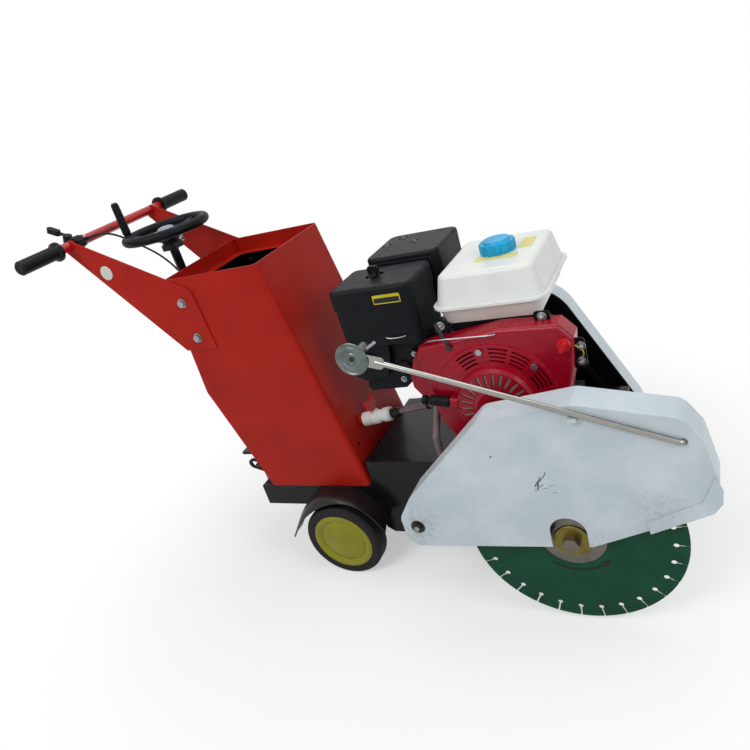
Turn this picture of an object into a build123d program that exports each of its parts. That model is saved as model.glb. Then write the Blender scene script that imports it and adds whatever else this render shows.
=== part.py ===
"""Walk-behind concrete saw: welded chassis, water tank, single-cylinder engine, belt drive,
16 inch blade in a swing-up guard, and a hand wheel that lifts and lowers the front wheels.

Frame: +X forward (blade end), +Y left (belt side), +Z up, millimetres.
The origin is on the ground, below the middle of the saw.
"""
from build123d import *
import math
import os

os.makedirs("parts", exist_ok=True)

# ---------------------------------------------------------------- driving dimensions

# clearances
RUN = 0.05              # radial clearance of a shaft in its bearing or bush
GAP = 0.4               # air gap between pieces that move past each other
SEAT = 0.3              # gap where a moving piece rests beside its carrier

# chassis
SHEET = 4.0             # chassis plate
FRAME_HALF = 146.0      # half width over the side plates
TRAY_REAR = -393.0
TRAY_BOTTOM = 175.0
TRAY_TOP = 232.0
STEP_X = -70.0          # riser between the rear tray and the engine bed
BED_FRONT = 480.0
BED_TOP = 300.0
SIDE_BOTTOM = 98.0      # lower edge of the deep side plates
RAIL_HEIGHT = 25.0      # engine rails on the bed
RAIL_WIDTH = 40.0

# middle of the saw's length, from the throttle lever's end to the guard's nose
MIDDLE_X = -28.0

# rear wheels
REAR_AXLE_X = -174.0
REAR_WHEEL_R = 100.0
REAR_RIM_R = 77.0
REAR_TYRE_W = 46.0
REAR_WHEEL_Y = FRAME_HALF + REAR_TYRE_W / 2 + 4.0   # centre of the tyre
AXLE_R = 10.0

# mudguards
MUD_R = 134.0           # inside radius round the rear axle
MUD_SHEET = 2.5
MUD_OUT = 54.0          # reach outside the side plate

# front wheels and their swing arm
ARM_PIVOT_X = 66.0
ARM_PIVOT_Z = 150.0
FRONT_AXLE_X = 196.0
FRONT_WHEEL_R = 60.0
FRONT_WHEEL_W = 36.0
FRONT_WHEEL_Y = 100.0
PIVOT_R = 9.0
ARM_UP = 44.8           # upright lever of the swing arm
CRANK_UP = 56.0         # upright lever of the bell crank

# hand wheel, screw column and lift nut
COLUMN_X = -495.0
COLUMN_R = 11.0
COLUMN_TOP = 832.0
COLUMN_BOTTOM = 262.0
SCREW_R = 7.0
SCREW_END = 116.0       # lower end of the lead screw
NUT_Z = 210.0           # height of the lift nut with the saw raised level
NUT_R = 14.0
CRANK_PIVOT_X = -345.0
CRANK_PIVOT_Z = 150.0
HANDWHEEL_Z = 880.0     # middle of the rim
HANDWHEEL_R = 96.0      # middle of the rim section
HANDWHEEL_RIM_R = 11.0
KNOB_R = 10.0
KNOB_LENGTH = 77.7

# water tank
TANK_SHEET = 3.0
TANK_HALF = FRAME_HALF
TANK_TOP = 796.0
TANK_TOP_REAR = -429.0
TANK_TOP_FRONT = -174.0
TANK_FRONT = -78.0      # foot of the front wall
TANK_REAR = -356.0      # foot of the rear wall
TANK_BEND = (-440.0, 509.0)
TANK_LIP = 30.0         # inward shelf round the filling opening
TANK_LIP_DROP = 34.0
TANK_FOLD_R = 14.0

# handlebar
BAR_X = -655.0
BAR_Z = 913.0
BAR_R = 11.0
BAR_WALL = 2.0
GRIP_END = 296.0
GRIP_LENGTH = 113.0
GRIP_R = 16.0
PLATE = 3.0             # handle plates

# water line
VALVE_Y = -57.0
VALVE_Z = 361.0
HOSE_R = 6.5
PIPE_R = 8.0

# engine
CRANK_X = 278.0
CRANK_Z = 446.0
SHAFT_R = 12.5
HOUSING_FACE = -150.0   # near face of the fan housing
COVER_FACE = -182.0     # near face of the recoil cover
ENGINE_SHEET = 2.5

# belt drive
ENGINE_PULLEY_R = 55.0
ARBOR_PULLEY_R = 62.5
BELT_Y = 210.0          # middle of the belts
BELT_PITCH = 16.0
BELT_W = 12.0
BELT_T = 8.0
COVER_IN = 180.0
COVER_OUT = 240.0
COVER_SHEET = 2.0
COVER_R_ENGINE = 102.0
COVER_R_ARBOR = 89.0

# blade and arbor
ARBOR_X = 409.0
ARBOR_Z = 213.7
ARBOR_R = 17.5
BLADE_R = 203.0
BLADE_Y = -274.0
BLADE_T = 3.2
SEGMENTS = 28
SEGMENT_H = 10.0
FLANGE_R = 62.0
BEARING_Y = FRAME_HALF - 34.0

# blade guard
GUARD_IN = -235.0
GUARD_OUT = -302.0
GUARD_SHEET = 3.0
GUARD_PIVOT = (106.0, 247.0)
GUARD_SLOT_R = 34.0

# guide rod
ROD_R = 5.0
ROD_EYE = (619.0, 441.0)
ROD_END = (112.0, 633.0)
DISC_R = 39.0


# throttle cable, from the lever's stop to the carburettor
CABLE_R = 2.5
CABLE_ROUTE = (
    (-637.0, -106.0, 916.0),
    (-637.0, -70.0, 916.0),
    (-629.0, -28.0, 900.0),
    (-600.0, 0.0, 861.0),
    (-556.0, 12.0, 822.0),
    (-520.0, 15.0, 774.0),
    (-503.0, 17.0, 712.0),
    (-500.0, 18.0, 640.0),
    (-494.0, 24.0, 570.0),
    (-484.0, 46.0, 510.0),
    (-474.0, 88.0, 460.0),
    (-456.0, 136.0, 418.0),
    (-404.0, 162.0, 386.0),
    (-336.0, 155.0, 372.0),
    (-270.0, 151.0, 380.0),
    (-204.0, 152.0, 392.0),
    (-140.0, 158.0, 412.0),
    (-84.0, 142.0, 438.0),
    (-44.0, 102.0, 466.0),
    (-18.0, 54.0, 500.0),
    (10.0, 8.0, 532.0),
    (10.0, -36.0, 532.0),
)

# engine controls on the fan housing's near face
SWITCH_AT = (424.0, 556.0)
CONTROL_AT = (206.0, 572.0)
CONTROL_TIP = (190.0, 620.0)
CONTROL_W = 7.0
CONTROL_LENGTH = math.hypot(CONTROL_TIP[0] - CONTROL_AT[0], CONTROL_TIP[1] - CONTROL_AT[1])
CONTROL_ANGLE = math.degrees(math.atan2(CONTROL_TIP[1] - CONTROL_AT[1], CONTROL_TIP[0] - CONTROL_AT[0]))
CONTROL_BORE = 3.0


def route_radii(route):
    """Bend radii of a hose or cable: 0.45 of the shorter run over the tangent of half the turn."""
    points = [Vector(*p) for p in route]
    radii = []
    for before, at, after in zip(points, points[1:], points[2:]):
        first, second = at - before, after - at
        turn = math.radians(first.get_angle(second))
        radii.append(0.45 * min(first.length, second.length) / math.tan(turn / 2))
    print("bend radii", [round(r) for r in radii])
    return radii


def side_plane(y):
    """Upright plane along the saw at the given Y: its x is +X, its y is +Z, its normal is -Y."""
    return Plane.XZ.offset(-y)


def save(part, name):
    """Write a finished piece, moved so that the middle of the saw's length is at X = 0."""
    placed = part.moved(Location((-MIDDLE_X, 0, 0)))
    placed.label = name
    export_step(placed, f"parts/{name}.step")


# ---------------------------------------------------------------- chassis

RAIL_X0 = CRANK_X - 130.0
RAIL_X1 = CRANK_X + 130.0
RAIL_Y = 81.0
HANGER_W = 136.0                        # beam that carries the arbor bearings
BEARING_BASE_Z = ARBOR_Z + 38.3
CRANK_EAR_Y = 30.0                      # ears of the bell crank, either side of the middle
EAR = 6.0
ENGINE_BOLT_R = 5.0
ENGINE_BOLT_X = (CRANK_X - 81.0, CRANK_X + 81.0)
BEARING_BOLT_X = (ARBOR_X - 42.0, ARBOR_X + 42.0)
BEARING_BOLT_R = 6.0
GUARD_STUB_R = 15.0
GUARD_PIVOT_R = 8.0
GUARD_BOLT_GRIP = 14.0                  # thread engagement of the guard's pivot bolt
STOP_X = ARBOR_X + 56.0                 # rest for the blade guard
STOP_W = 30.0
STOP_Z = BED_TOP - 30.0
FORK_Y = 18.0                           # forked lever of the bell crank
FORK_T = 6.0
NOTCH_TOP = 197.0
STOP_LAP = 14.0                         # how far the guard's lug reaches over the rest
NOTCH_GAP = 3.0

with BuildPart() as chassis:
    # rear tray: folded channel, open underneath
    with BuildSketch(Plane.XY.offset(TRAY_BOTTOM)):
        with Locations(((TRAY_REAR + STEP_X) / 2, 0)):
            Rectangle(STEP_X - TRAY_REAR, 2 * FRAME_HALF)
    extrude(amount=TRAY_TOP - TRAY_BOTTOM)
    with BuildSketch(Plane.XY.offset(TRAY_BOTTOM)):
        with Locations(((TRAY_REAR + STEP_X) / 2 + SHEET / 2, 0)):
            Rectangle(STEP_X - TRAY_REAR - SHEET, 2 * (FRAME_HALF - SHEET))
    extrude(amount=TRAY_TOP - TRAY_BOTTOM - SHEET, mode=Mode.SUBTRACT)
    # riser and engine bed
    with BuildSketch(side_plane(FRAME_HALF)):
        with BuildLine():
            Polyline(
                (STEP_X, TRAY_TOP - SHEET),
                (STEP_X, BED_TOP),
                (BED_FRONT, BED_TOP),
                (BED_FRONT, BED_TOP - SHEET),
                (STEP_X + SHEET, BED_TOP - SHEET),
                (STEP_X + SHEET, TRAY_TOP - SHEET),
                close=True,
            )
        make_face()
    extrude(amount=2 * FRAME_HALF)
    # deep side plates
    for y in (FRAME_HALF, -FRAME_HALF + SHEET):
        with BuildSketch(side_plane(y)):
            with BuildLine():
                Polyline(
                    (STEP_X, BED_TOP - SHEET),
                    (STEP_X, SIDE_BOTTOM + 14),
                    (STEP_X + 18, SIDE_BOTTOM),
                    (ARM_PIVOT_X + 60, SIDE_BOTTOM),
                    (ARM_PIVOT_X + 100, SIDE_BOTTOM + 62),
                    (BED_FRONT - 24, SIDE_BOTTOM + 62),
                    (BED_FRONT, SIDE_BOTTOM + 90),
                    (BED_FRONT, BED_TOP - SHEET),
                    close=True,
                )
            make_face()
            with Locations((ARBOR_X, ARBOR_Z)):
                Circle(FLANGE_R / 2, mode=Mode.SUBTRACT)
            with Locations((ARM_PIVOT_X, ARM_PIVOT_Z)):
                Circle(PIVOT_R + RUN, mode=Mode.SUBTRACT)
        extrude(amount=SHEET)
    # rear axle eyes, in ears below the tray
    for y in (FRAME_HALF, -FRAME_HALF + EAR):
        with BuildSketch(side_plane(y)):
            with BuildLine():
                Polyline(
                    (REAR_AXLE_X - 60, TRAY_BOTTOM),
                    (REAR_AXLE_X - 22, REAR_WHEEL_R - 24),
                    (REAR_AXLE_X + 22, REAR_WHEEL_R - 24),
                    (REAR_AXLE_X + 60, TRAY_BOTTOM),
                    close=True,
                )
            make_face()
            with Locations((REAR_AXLE_X, REAR_WHEEL_R)):
                Circle(AXLE_R, mode=Mode.SUBTRACT)
        extrude(amount=EAR)
    # ears that hang the bell crank under the tray
    for y in (CRANK_EAR_Y + EAR, -CRANK_EAR_Y):
        with BuildSketch(side_plane(y)):
            with BuildLine():
                Polyline(
                    (CRANK_PIVOT_X - 24, TRAY_TOP - SHEET),
                    (CRANK_PIVOT_X - 16, CRANK_PIVOT_Z - 14),
                    (CRANK_PIVOT_X + 16, CRANK_PIVOT_Z - 14),
                    (CRANK_PIVOT_X + 24, TRAY_TOP - SHEET),
                    close=True,
                )
            make_face()
            with Locations((CRANK_PIVOT_X, CRANK_PIVOT_Z)):
                Circle(PIVOT_R + RUN, mode=Mode.SUBTRACT)
        extrude(amount=EAR)
    # notch in the rear wall for the bell crank's forked lever
    with BuildSketch(Plane.YZ.offset(TRAY_REAR)):
        with Locations((0, (TRAY_BOTTOM + NOTCH_TOP) / 2)):
            Rectangle(2 * (FORK_Y + FORK_T + NOTCH_GAP), NOTCH_TOP - TRAY_BOTTOM)
    extrude(amount=SHEET, mode=Mode.SUBTRACT)
    # crossbeam for the arbor bearings
    with BuildSketch(Plane.XY.offset(BEARING_BASE_Z)):
        with Locations((ARBOR_X, 0)):
            Rectangle(HANGER_W, 2 * (FRAME_HALF - SHEET))
    extrude(amount=BED_TOP - SHEET - BEARING_BASE_Z)
    with BuildSketch(Plane.XY.offset(BEARING_BASE_Z + 8)):
        with Locations((ARBOR_X, 0)):
            Rectangle(HANGER_W - 16, 2 * (FRAME_HALF - SHEET) - 16)
    extrude(amount=BED_TOP - SHEET - BEARING_BASE_Z - 16, mode=Mode.SUBTRACT)
    # rails under the engine feet
    with BuildSketch(Plane.XY.offset(BED_TOP)):
        for y in (-RAIL_Y, RAIL_Y):
            with Locations(((RAIL_X0 + RAIL_X1) / 2, y)):
                Rectangle(RAIL_X1 - RAIL_X0, RAIL_WIDTH)
    extrude(amount=RAIL_HEIGHT)
    with BuildSketch(Plane.XY.offset(BED_TOP)):
        for x in ENGINE_BOLT_X:
            for y in (-RAIL_Y, RAIL_Y):
                with Locations((x, y)):
                    Circle(ENGINE_BOLT_R)
    extrude(amount=RAIL_HEIGHT, mode=Mode.SUBTRACT)
    with BuildSketch(Plane.XY.offset(BEARING_BASE_Z)):
        for x in BEARING_BOLT_X:
            for y in (-BEARING_Y, BEARING_Y):
                with Locations((x, y)):
                    Circle(BEARING_BOLT_R)
    extrude(amount=8, mode=Mode.SUBTRACT)
    # stub that carries the blade guard's pivot bolt
    with BuildSketch(side_plane(-FRAME_HALF)):
        with Locations(GUARD_PIVOT):
            Circle(GUARD_STUB_R)
    extrude(amount=-GUARD_IN - FRAME_HALF - GAP)
    with BuildSketch(side_plane(GUARD_IN + GUARD_BOLT_GRIP)):
        with Locations(GUARD_PIVOT):
            Circle(GUARD_PIVOT_R)
    extrude(amount=GUARD_BOLT_GRIP, mode=Mode.SUBTRACT)
    # rest that a lug of the guard sits on
    with BuildSketch(side_plane(-FRAME_HALF)):
        with Locations((STOP_X, STOP_Z)):
            Rectangle(STOP_W, STOP_W)
    extrude(amount=-GUARD_IN - FRAME_HALF - GAP)
    fillet(chassis.edges().filter_by(Axis.Y).group_by(Axis.X)[0], SHEET / 2)
save(chassis.part, "chassis_frame")

with BuildPart() as axle:
    with BuildSketch(side_plane(REAR_WHEEL_Y + REAR_TYRE_W / 2 + 2)):
        with Locations((REAR_AXLE_X, REAR_WHEEL_R)):
            Circle(AXLE_R)
    extrude(amount=2 * REAR_WHEEL_Y + REAR_TYRE_W + 4)
    chamfer(axle.edges().filter_by(GeomType.CIRCLE), 1.5)
save(axle.part, "rear_axle")

MUD_START = 24.0         # front lip, degrees above the axle
MUD_END = 172.0          # rear lip
MUD_TAIL = 26.0          # straight flap at the rear


with BuildPart() as mudguards:
    # half drum over each rear wheel, fixed to the side plate, with a flap at the rear
    for near_y in (-FRAME_HALF, FRAME_HALF + MUD_OUT):
        with BuildSketch(side_plane(near_y)):
            with BuildLine():
                centre = (REAR_AXLE_X, REAR_WHEEL_R)
                outer = CenterArc(centre, MUD_R + MUD_SHEET, MUD_START, MUD_END - MUD_START)
                inner = CenterArc(centre, MUD_R, MUD_START, MUD_END - MUD_START)
                Line(outer @ 0, inner @ 0)
                way = (outer % 1).normalized() * MUD_TAIL
                tip = (inner @ 1) + way + Vector(-MUD_TAIL / 2, 0)
                Polyline(outer @ 1, tip, tip + Vector(MUD_SHEET, 0), inner @ 1)
            make_face()
        extrude(amount=MUD_OUT)
save(mudguards.part, "mudguards")

# ---------------------------------------------------------------- water tank

OUTLET_X = TANK_FRONT - (VALVE_Z - TRAY_TOP) * (TANK_FRONT - TANK_TOP_FRONT) / (TANK_TOP - TRAY_TOP)
WALL_LEAN = math.atan((TANK_FRONT - TANK_TOP_FRONT) / (TANK_TOP - TRAY_TOP))
OUTLET_R = 15.0
OUTLET_LENGTH = 10.0
OUTLET_BORE = 8.0
DRAIN = (-110.0, 328.0)                 # Y and Z of the bare drain hole in the front wall
DRAIN_R = 4.0
PLATE_BOLTS = ((-398.0, 739.0), (-394.0, 653.0))
PLATE_BOLT_R = 5.0
TANK_OUTLINE = (
    (TANK_REAR, TRAY_TOP),
    TANK_BEND,
    (TANK_TOP_REAR, TANK_TOP),
    (TANK_TOP_FRONT, TANK_TOP),
    (TANK_FRONT, TRAY_TOP),
)


def outlet_plane(distance):
    """Plane square to the water line, this far out from the tank's front wall."""
    along = (math.cos(WALL_LEAN), 0, math.sin(WALL_LEAN))
    origin = (OUTLET_X + distance * along[0], VALVE_Y, VALVE_Z + distance * along[2])
    return Plane(origin=origin, x_dir=(0, 1, 0), z_dir=along)


def tank_solid(inset):
    """The tank's body, with every wall moved in by the inset."""
    with BuildPart() as body:
        with BuildSketch(side_plane(TANK_HALF - inset)):
            with BuildLine():
                Polyline(*TANK_OUTLINE, close=True)
            make_face()
            if inset > 0:
                offset(amount=-inset, kind=Kind.INTERSECTION)
        extrude(amount=2 * (TANK_HALF - inset))
        upright = body.edges().filter_by(lambda e: abs((e % 0.5).Z) > 0.9)
        front = upright.filter_by(lambda e: (e @ 0.5).X > (TANK_FRONT + TANK_TOP_FRONT) / 2 - 40)
        fillet(front, TANK_FOLD_R - inset)
    return body.part


with BuildPart() as tank:
    add(tank_solid(0))
    add(tank_solid(TANK_SHEET), mode=Mode.SUBTRACT)
    # filling opening with a sunk shelf round it
    with BuildSketch(Plane.XY.offset(TANK_TOP)):
        with Locations(((TANK_TOP_REAR + TANK_TOP_FRONT) / 2, 0)):
            RectangleRounded(
                TANK_TOP_FRONT - TANK_TOP_REAR - 2 * TANK_SHEET,
                2 * (TANK_HALF - TANK_SHEET),
                TANK_FOLD_R - TANK_SHEET,
            )
    extrude(amount=-TANK_SHEET, mode=Mode.SUBTRACT)
    shelf_z = TANK_TOP - TANK_LIP_DROP
    with BuildSketch(Plane.XY.offset(shelf_z)):
        with Locations(((TANK_TOP_REAR + TANK_TOP_FRONT) / 2, 0)):
            RectangleRounded(
                TANK_TOP_FRONT - TANK_TOP_REAR - TANK_SHEET,
                2 * TANK_HALF - TANK_SHEET,
                TANK_FOLD_R,
            )
            RectangleRounded(
                TANK_TOP_FRONT - TANK_TOP_REAR - 2 * TANK_LIP,
                2 * (TANK_HALF - TANK_LIP),
                TANK_FOLD_R,
                mode=Mode.SUBTRACT,
            )
    extrude(amount=-TANK_SHEET)
    # outlet socket for the valve
    with BuildSketch(outlet_plane(-TANK_SHEET / 2)):
        Circle(OUTLET_R)
    extrude(amount=OUTLET_LENGTH + TANK_SHEET / 2)
    with BuildSketch(outlet_plane(OUTLET_LENGTH)):
        Circle(OUTLET_BORE)
    extrude(amount=-OUTLET_LENGTH - 2 * TANK_SHEET, mode=Mode.SUBTRACT)
    # drain hole
    with BuildSketch(Plane.YZ.offset(TANK_FRONT + 20)):
        with Locations(DRAIN):
            Circle(DRAIN_R)
    extrude(amount=-60, mode=Mode.SUBTRACT)
    # bolt holes for the handle plates
    with BuildSketch(side_plane(TANK_HALF + 10)):
        for bolt in PLATE_BOLTS:
            with Locations(bolt):
                Circle(PLATE_BOLT_R)
    extrude(amount=2 * TANK_HALF + 20, mode=Mode.SUBTRACT)
save(tank.part, "water_tank")

# ---------------------------------------------------------------- handle

PLATE_OUTLINE = (
    (BAR_X - 16.0, BAR_Z - 12.0),
    (BAR_X + 6.0, BAR_Z + 12.5),
    (-371.0, 772.0),
    (-361.0, 764.0),
    (-352.0, 620.0),
    (-441.0, 624.0),
)


with BuildPart() as plates:
    # one sheet bracket on each side of the tank, up to the handlebar
    for y in (-TANK_HALF, TANK_HALF + PLATE):
        with BuildSketch(side_plane(y)):
            with BuildLine():
                Polyline(*PLATE_OUTLINE, close=True)
            make_face()
            with Locations((BAR_X, BAR_Z)):
                Circle(BAR_R, mode=Mode.SUBTRACT)
            for bolt in PLATE_BOLTS:
                with Locations(bolt):
                    Circle(PLATE_BOLT_R, mode=Mode.SUBTRACT)
        extrude(amount=PLATE)
    fillet(plates.edges().filter_by(Axis.Y).group_by(Axis.X)[0], 4)
save(plates.part, "handle_plates")

with BuildPart() as bar:
    with BuildSketch(side_plane(GRIP_END - 4)):
        with Locations((BAR_X, BAR_Z)):
            Circle(BAR_R)
            Circle(BAR_R - BAR_WALL, mode=Mode.SUBTRACT)
    extrude(amount=2 * (GRIP_END - 4))
save(bar.part, "handlebar")

GRIP_RIBS = 9
GRIP_COLLAR_R = GRIP_R + 6.0
GRIP_COLLAR_W = 6.0


def grip(name, side):
    """Rubber sleeve with a closed end, finger ribs and an inner collar; side is -1 or 1."""
    start = GRIP_END - GRIP_LENGTH
    with BuildPart() as sleeve:
        with BuildSketch(Plane.XY.offset(BAR_Z)):
            with BuildLine():
                Polyline(
                    (BAR_X + BAR_R, side * start),
                    (BAR_X + GRIP_COLLAR_R, side * start),
                    (BAR_X + GRIP_COLLAR_R, side * (start + GRIP_COLLAR_W)),
                    (BAR_X + GRIP_R, side * (start + 2 * GRIP_COLLAR_W)),
                    (BAR_X + GRIP_R, side * (GRIP_END - 4)),
                    (BAR_X + GRIP_R - 4, side * GRIP_END),
                    (BAR_X, side * GRIP_END),
                    (BAR_X, side * (GRIP_END - 4)),
                    (BAR_X + BAR_R, side * (GRIP_END - 4)),
                    close=True,
                )
            make_face()
            pitch = (GRIP_LENGTH - 4 * GRIP_COLLAR_W) / GRIP_RIBS
            for k in range(GRIP_RIBS):
                y = side * (start + 3 * GRIP_COLLAR_W + k * pitch)
                with Locations((BAR_X + GRIP_R, y)):
                    Rectangle(1.6, 2.4, mode=Mode.SUBTRACT)
        revolve(axis=Axis((BAR_X, 0, BAR_Z), (0, 1, 0)))
    save(sleeve.part, name)


grip("grip_right", -1)
grip("grip_left", 1)

# ---------------------------------------------------------------- hand wheel and screw column

BRACKET_Z = 690.0
BRACKET_W = 50.0
FOOT_W = 70.0

with BuildPart() as column:
    with BuildSketch(Plane.XY.offset(COLUMN_BOTTOM)):
        with Locations((COLUMN_X, 0)):
            Circle(COLUMN_R)
    extrude(amount=COLUMN_TOP - COLUMN_BOTTOM)
    # bearing block under the hand wheel
    with BuildSketch(Plane.XY.offset(COLUMN_TOP)):
        with Locations((COLUMN_X, 0)):
            RectangleRounded(40, 40, 6)
    extrude(amount=14)
    # bracket to the tank's rear wall
    wall_slope = (TANK_TOP_REAR - TANK_BEND[0]) / (TANK_TOP - TANK_BEND[1])
    wall_x = TANK_TOP_REAR - (TANK_TOP - BRACKET_Z) * wall_slope
    with BuildSketch(Plane.XY.offset(BRACKET_Z)):
        with Locations(((COLUMN_X + wall_x - 4) / 2, 0)):
            Rectangle(wall_x - 4 - COLUMN_X, 16)
    extrude(amount=24)
    with BuildSketch(Plane.YZ.offset(wall_x - SHEET - 1.2)):
        with Locations((0, BRACKET_Z + 12)):
            Rectangle(BRACKET_W, 40)
    extrude(amount=SHEET)
    # foot bracket to the tray
    with BuildSketch(Plane.XY.offset(COLUMN_BOTTOM)):
        with Locations(((COLUMN_X - 24 + TRAY_REAR) / 2, 0)):
            Rectangle(TRAY_REAR - COLUMN_X + 24, FOOT_W)
    extrude(amount=-8)
    with BuildSketch(Plane.YZ.offset(TRAY_REAR)):
        with Locations((0, (NOTCH_TOP + 2 + COLUMN_BOTTOM) / 2)):
            Rectangle(FOOT_W, COLUMN_BOTTOM - NOTCH_TOP - 2)
    extrude(amount=-6)
    # bore for the screw, with a bush at each end
    with BuildSketch(Plane.XY.offset(COLUMN_BOTTOM - 8)):
        with Locations((COLUMN_X, 0)):
            Circle(SCREW_R + RUN)
    extrude(amount=COLUMN_TOP + 14 - COLUMN_BOTTOM + 8, mode=Mode.SUBTRACT)
save(column.part, "screw_column")

# ---------------------------------------------------------------- engine

FOOT_Z = BED_TOP + RAIL_HEIGHT
BLOCK_NEAR = -88.0
BLOCK_FAR = 112.0
BLOCK_R = 92.0                          # crankcase barrel round the crank
CYL_TILT = 15.0                         # cylinder rises this much toward the rear
CYL_START = 70.0
EXHAUST = (86.0, 46.0)                  # X and Y of the exhaust port on the head
EXHAUST_Z = 576.0
INTAKE = (62.0, 520.0)                  # X and Z of the intake port
INTAKE_R = 14.0
CARB_BACK = -36.0
POST_R = 8.0                            # posts that carry the fan housing
CYL_END = 205.0
CYL_HALF = 54.0
FIN_COUNT = 9
FIN_T = 3.5
FIN_OUT = 13.0
CYL_Y = 12.0


HOUSING_R = 150.0
HOUSING_TOP = 598.0
TANK_PAN_Z = HOUSING_TOP + SEAT         # underside of the fuel tank's pan
TANK_POST_X = (CRANK_X - 15.0, CRANK_X + 55.0)
TANK_POST_Y = (-45.0, 75.0)
TANK_POST_R = 8.0
HOUSING_LEFT = 128.0
HOUSING_RIGHT = 442.0
HOUSING_BACK = BLOCK_NEAR - 14.0
RECOIL_SEAT_R = 84.0
LOUVRE_IN = 92.0
LOUVRE_ROWS = 4
LOUVRE_PITCH = 8.4
LOUVRE_W = 3.6
LOUVRE_GROUPS = ((14.0, 34.0), (46.0, 65.0), (69.0, 88.0), (104.0, 124.0))
HOUSING_BOLTS = ((97.0, 113.0), (40.0, 113.0), (-45.0, 113.0), (-120.0, 113.0))
COVER_BOLT_R = 4.0


def polar(radius, degrees):
    """Point (x, z) round the crank."""
    a = math.radians(degrees)
    return (CRANK_X + radius * math.cos(a), CRANK_Z + radius * math.sin(a))


def tilted(distance):
    """Point (x, z) on the cylinder's axis at a distance from the crank."""
    a = math.radians(180 - CYL_TILT)
    return (CRANK_X + distance * math.cos(a), CRANK_Z + distance * math.sin(a))


with BuildPart() as crankcase:
    # barrel and feet
    with BuildSketch(side_plane(BLOCK_FAR)):
        with Locations((CRANK_X, CRANK_Z)):
            Circle(BLOCK_R)
        with Locations((CRANK_X, (CRANK_Z + FOOT_Z) / 2)):
            Rectangle(2 * BLOCK_R, CRANK_Z - FOOT_Z)
        with Locations((CRANK_X, FOOT_Z + 8)):
            Rectangle(2 * BLOCK_R + 44, 16)
    extrude(amount=BLOCK_FAR - BLOCK_NEAR)
    # side cover boss on the output side
    with BuildSketch(side_plane(BLOCK_FAR)):
        with Locations((CRANK_X, CRANK_Z)):
            Circle(BLOCK_R - 12)
    extrude(amount=-22, taper=12)
    # cylinder barrel with cooling fins, then the head and its cover
    axis_plane = Plane(
        origin=(CRANK_X, CYL_Y, CRANK_Z),
        x_dir=(0, 1, 0),
        z_dir=(tilted(1)[0] - CRANK_X, 0, tilted(1)[1] - CRANK_Z),
    )
    with BuildSketch(axis_plane.offset(CYL_START)):
        RectangleRounded(2 * CYL_HALF, 2 * CYL_HALF, 20)
    extrude(amount=CYL_END - CYL_START)
    fin_pitch = (CYL_END - CYL_START - 46) / FIN_COUNT
    for k in range(FIN_COUNT):
        with BuildSketch(axis_plane.offset(CYL_START + 30 + k * fin_pitch)):
            RectangleRounded(2 * (CYL_HALF + FIN_OUT), 2 * (CYL_HALF + FIN_OUT) - 8, 22)
        extrude(amount=FIN_T)
    with BuildSketch(axis_plane.offset(CYL_END)):
        RectangleRounded(2 * CYL_HALF - 20, 2 * CYL_HALF - 12, 16)
    extrude(amount=20, taper=8)
    # crank bore and the bolt holes in the feet
    with BuildSketch(side_plane(BLOCK_FAR + 30)):
        with Locations((CRANK_X, CRANK_Z)):
            Circle(SHAFT_R + RUN)
    extrude(amount=BLOCK_FAR - BLOCK_NEAR + 60, mode=Mode.SUBTRACT)
    with BuildSketch(Plane.XY.offset(FOOT_Z)):
        for x in ENGINE_BOLT_X:
            for y in (-RAIL_Y, RAIL_Y):
                with Locations((x, y)):
                    Circle(ENGINE_BOLT_R)
    extrude(amount=16, mode=Mode.SUBTRACT)
    # pockets over the feet for the bolt heads
    with BuildSketch(Plane.XY.offset(FOOT_Z + 16)):
        for x in ENGINE_BOLT_X:
            for y in (-RAIL_Y, RAIL_Y):
                with Locations((x, y)):
                    Rectangle(30, 30)
    extrude(amount=26, mode=Mode.SUBTRACT)
    # exhaust and intake ports on the head
    with BuildSketch(Plane.XY.offset(EXHAUST_Z)):
        with Locations(EXHAUST):
            RectangleRounded(56, 46, 8)
    extrude(amount=-34)
    with BuildSketch(side_plane(CARB_BACK + 16)):
        with Locations(INTAKE):
            Circle(INTAKE_R)
    extrude(amount=16)
    # posts that carry the fuel tank
    with BuildSketch(Plane.XY.offset(TANK_PAN_Z - SEAT)):
        for x in TANK_POST_X:
            for y in TANK_POST_Y:
                with Locations((x, y)):
                    Circle(TANK_POST_R)
    extrude(amount=CRANK_Z + BLOCK_R / 2 - TANK_PAN_Z)
    # posts that carry the fan housing
    with BuildSketch(side_plane(BLOCK_NEAR + 12)):
        for angle, radius in HOUSING_BOLTS:
            with Locations(polar(radius, angle)):
                Circle(POST_R)
        with Locations((CRANK_X, CRANK_Z)):
            Circle(HOUSING_BOLTS[0][1] + POST_R - 3)
            Circle(SHAFT_R + RUN, mode=Mode.SUBTRACT)
    extrude(amount=22)
    with BuildSketch(side_plane(BLOCK_NEAR)):
        for angle, radius in HOUSING_BOLTS:
            with Locations(polar(radius, angle)):
                Circle(POST_R)
    extrude(amount=BLOCK_NEAR - HOUSING_FACE - ENGINE_SHEET)
    with BuildSketch(side_plane(HOUSING_FACE)):
        for angle, radius in HOUSING_BOLTS:
            with Locations(polar(radius, angle)):
                Circle(COVER_BOLT_R)
    extrude(amount=-30, mode=Mode.SUBTRACT)
save(crankcase.part, "crankcase")

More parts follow.
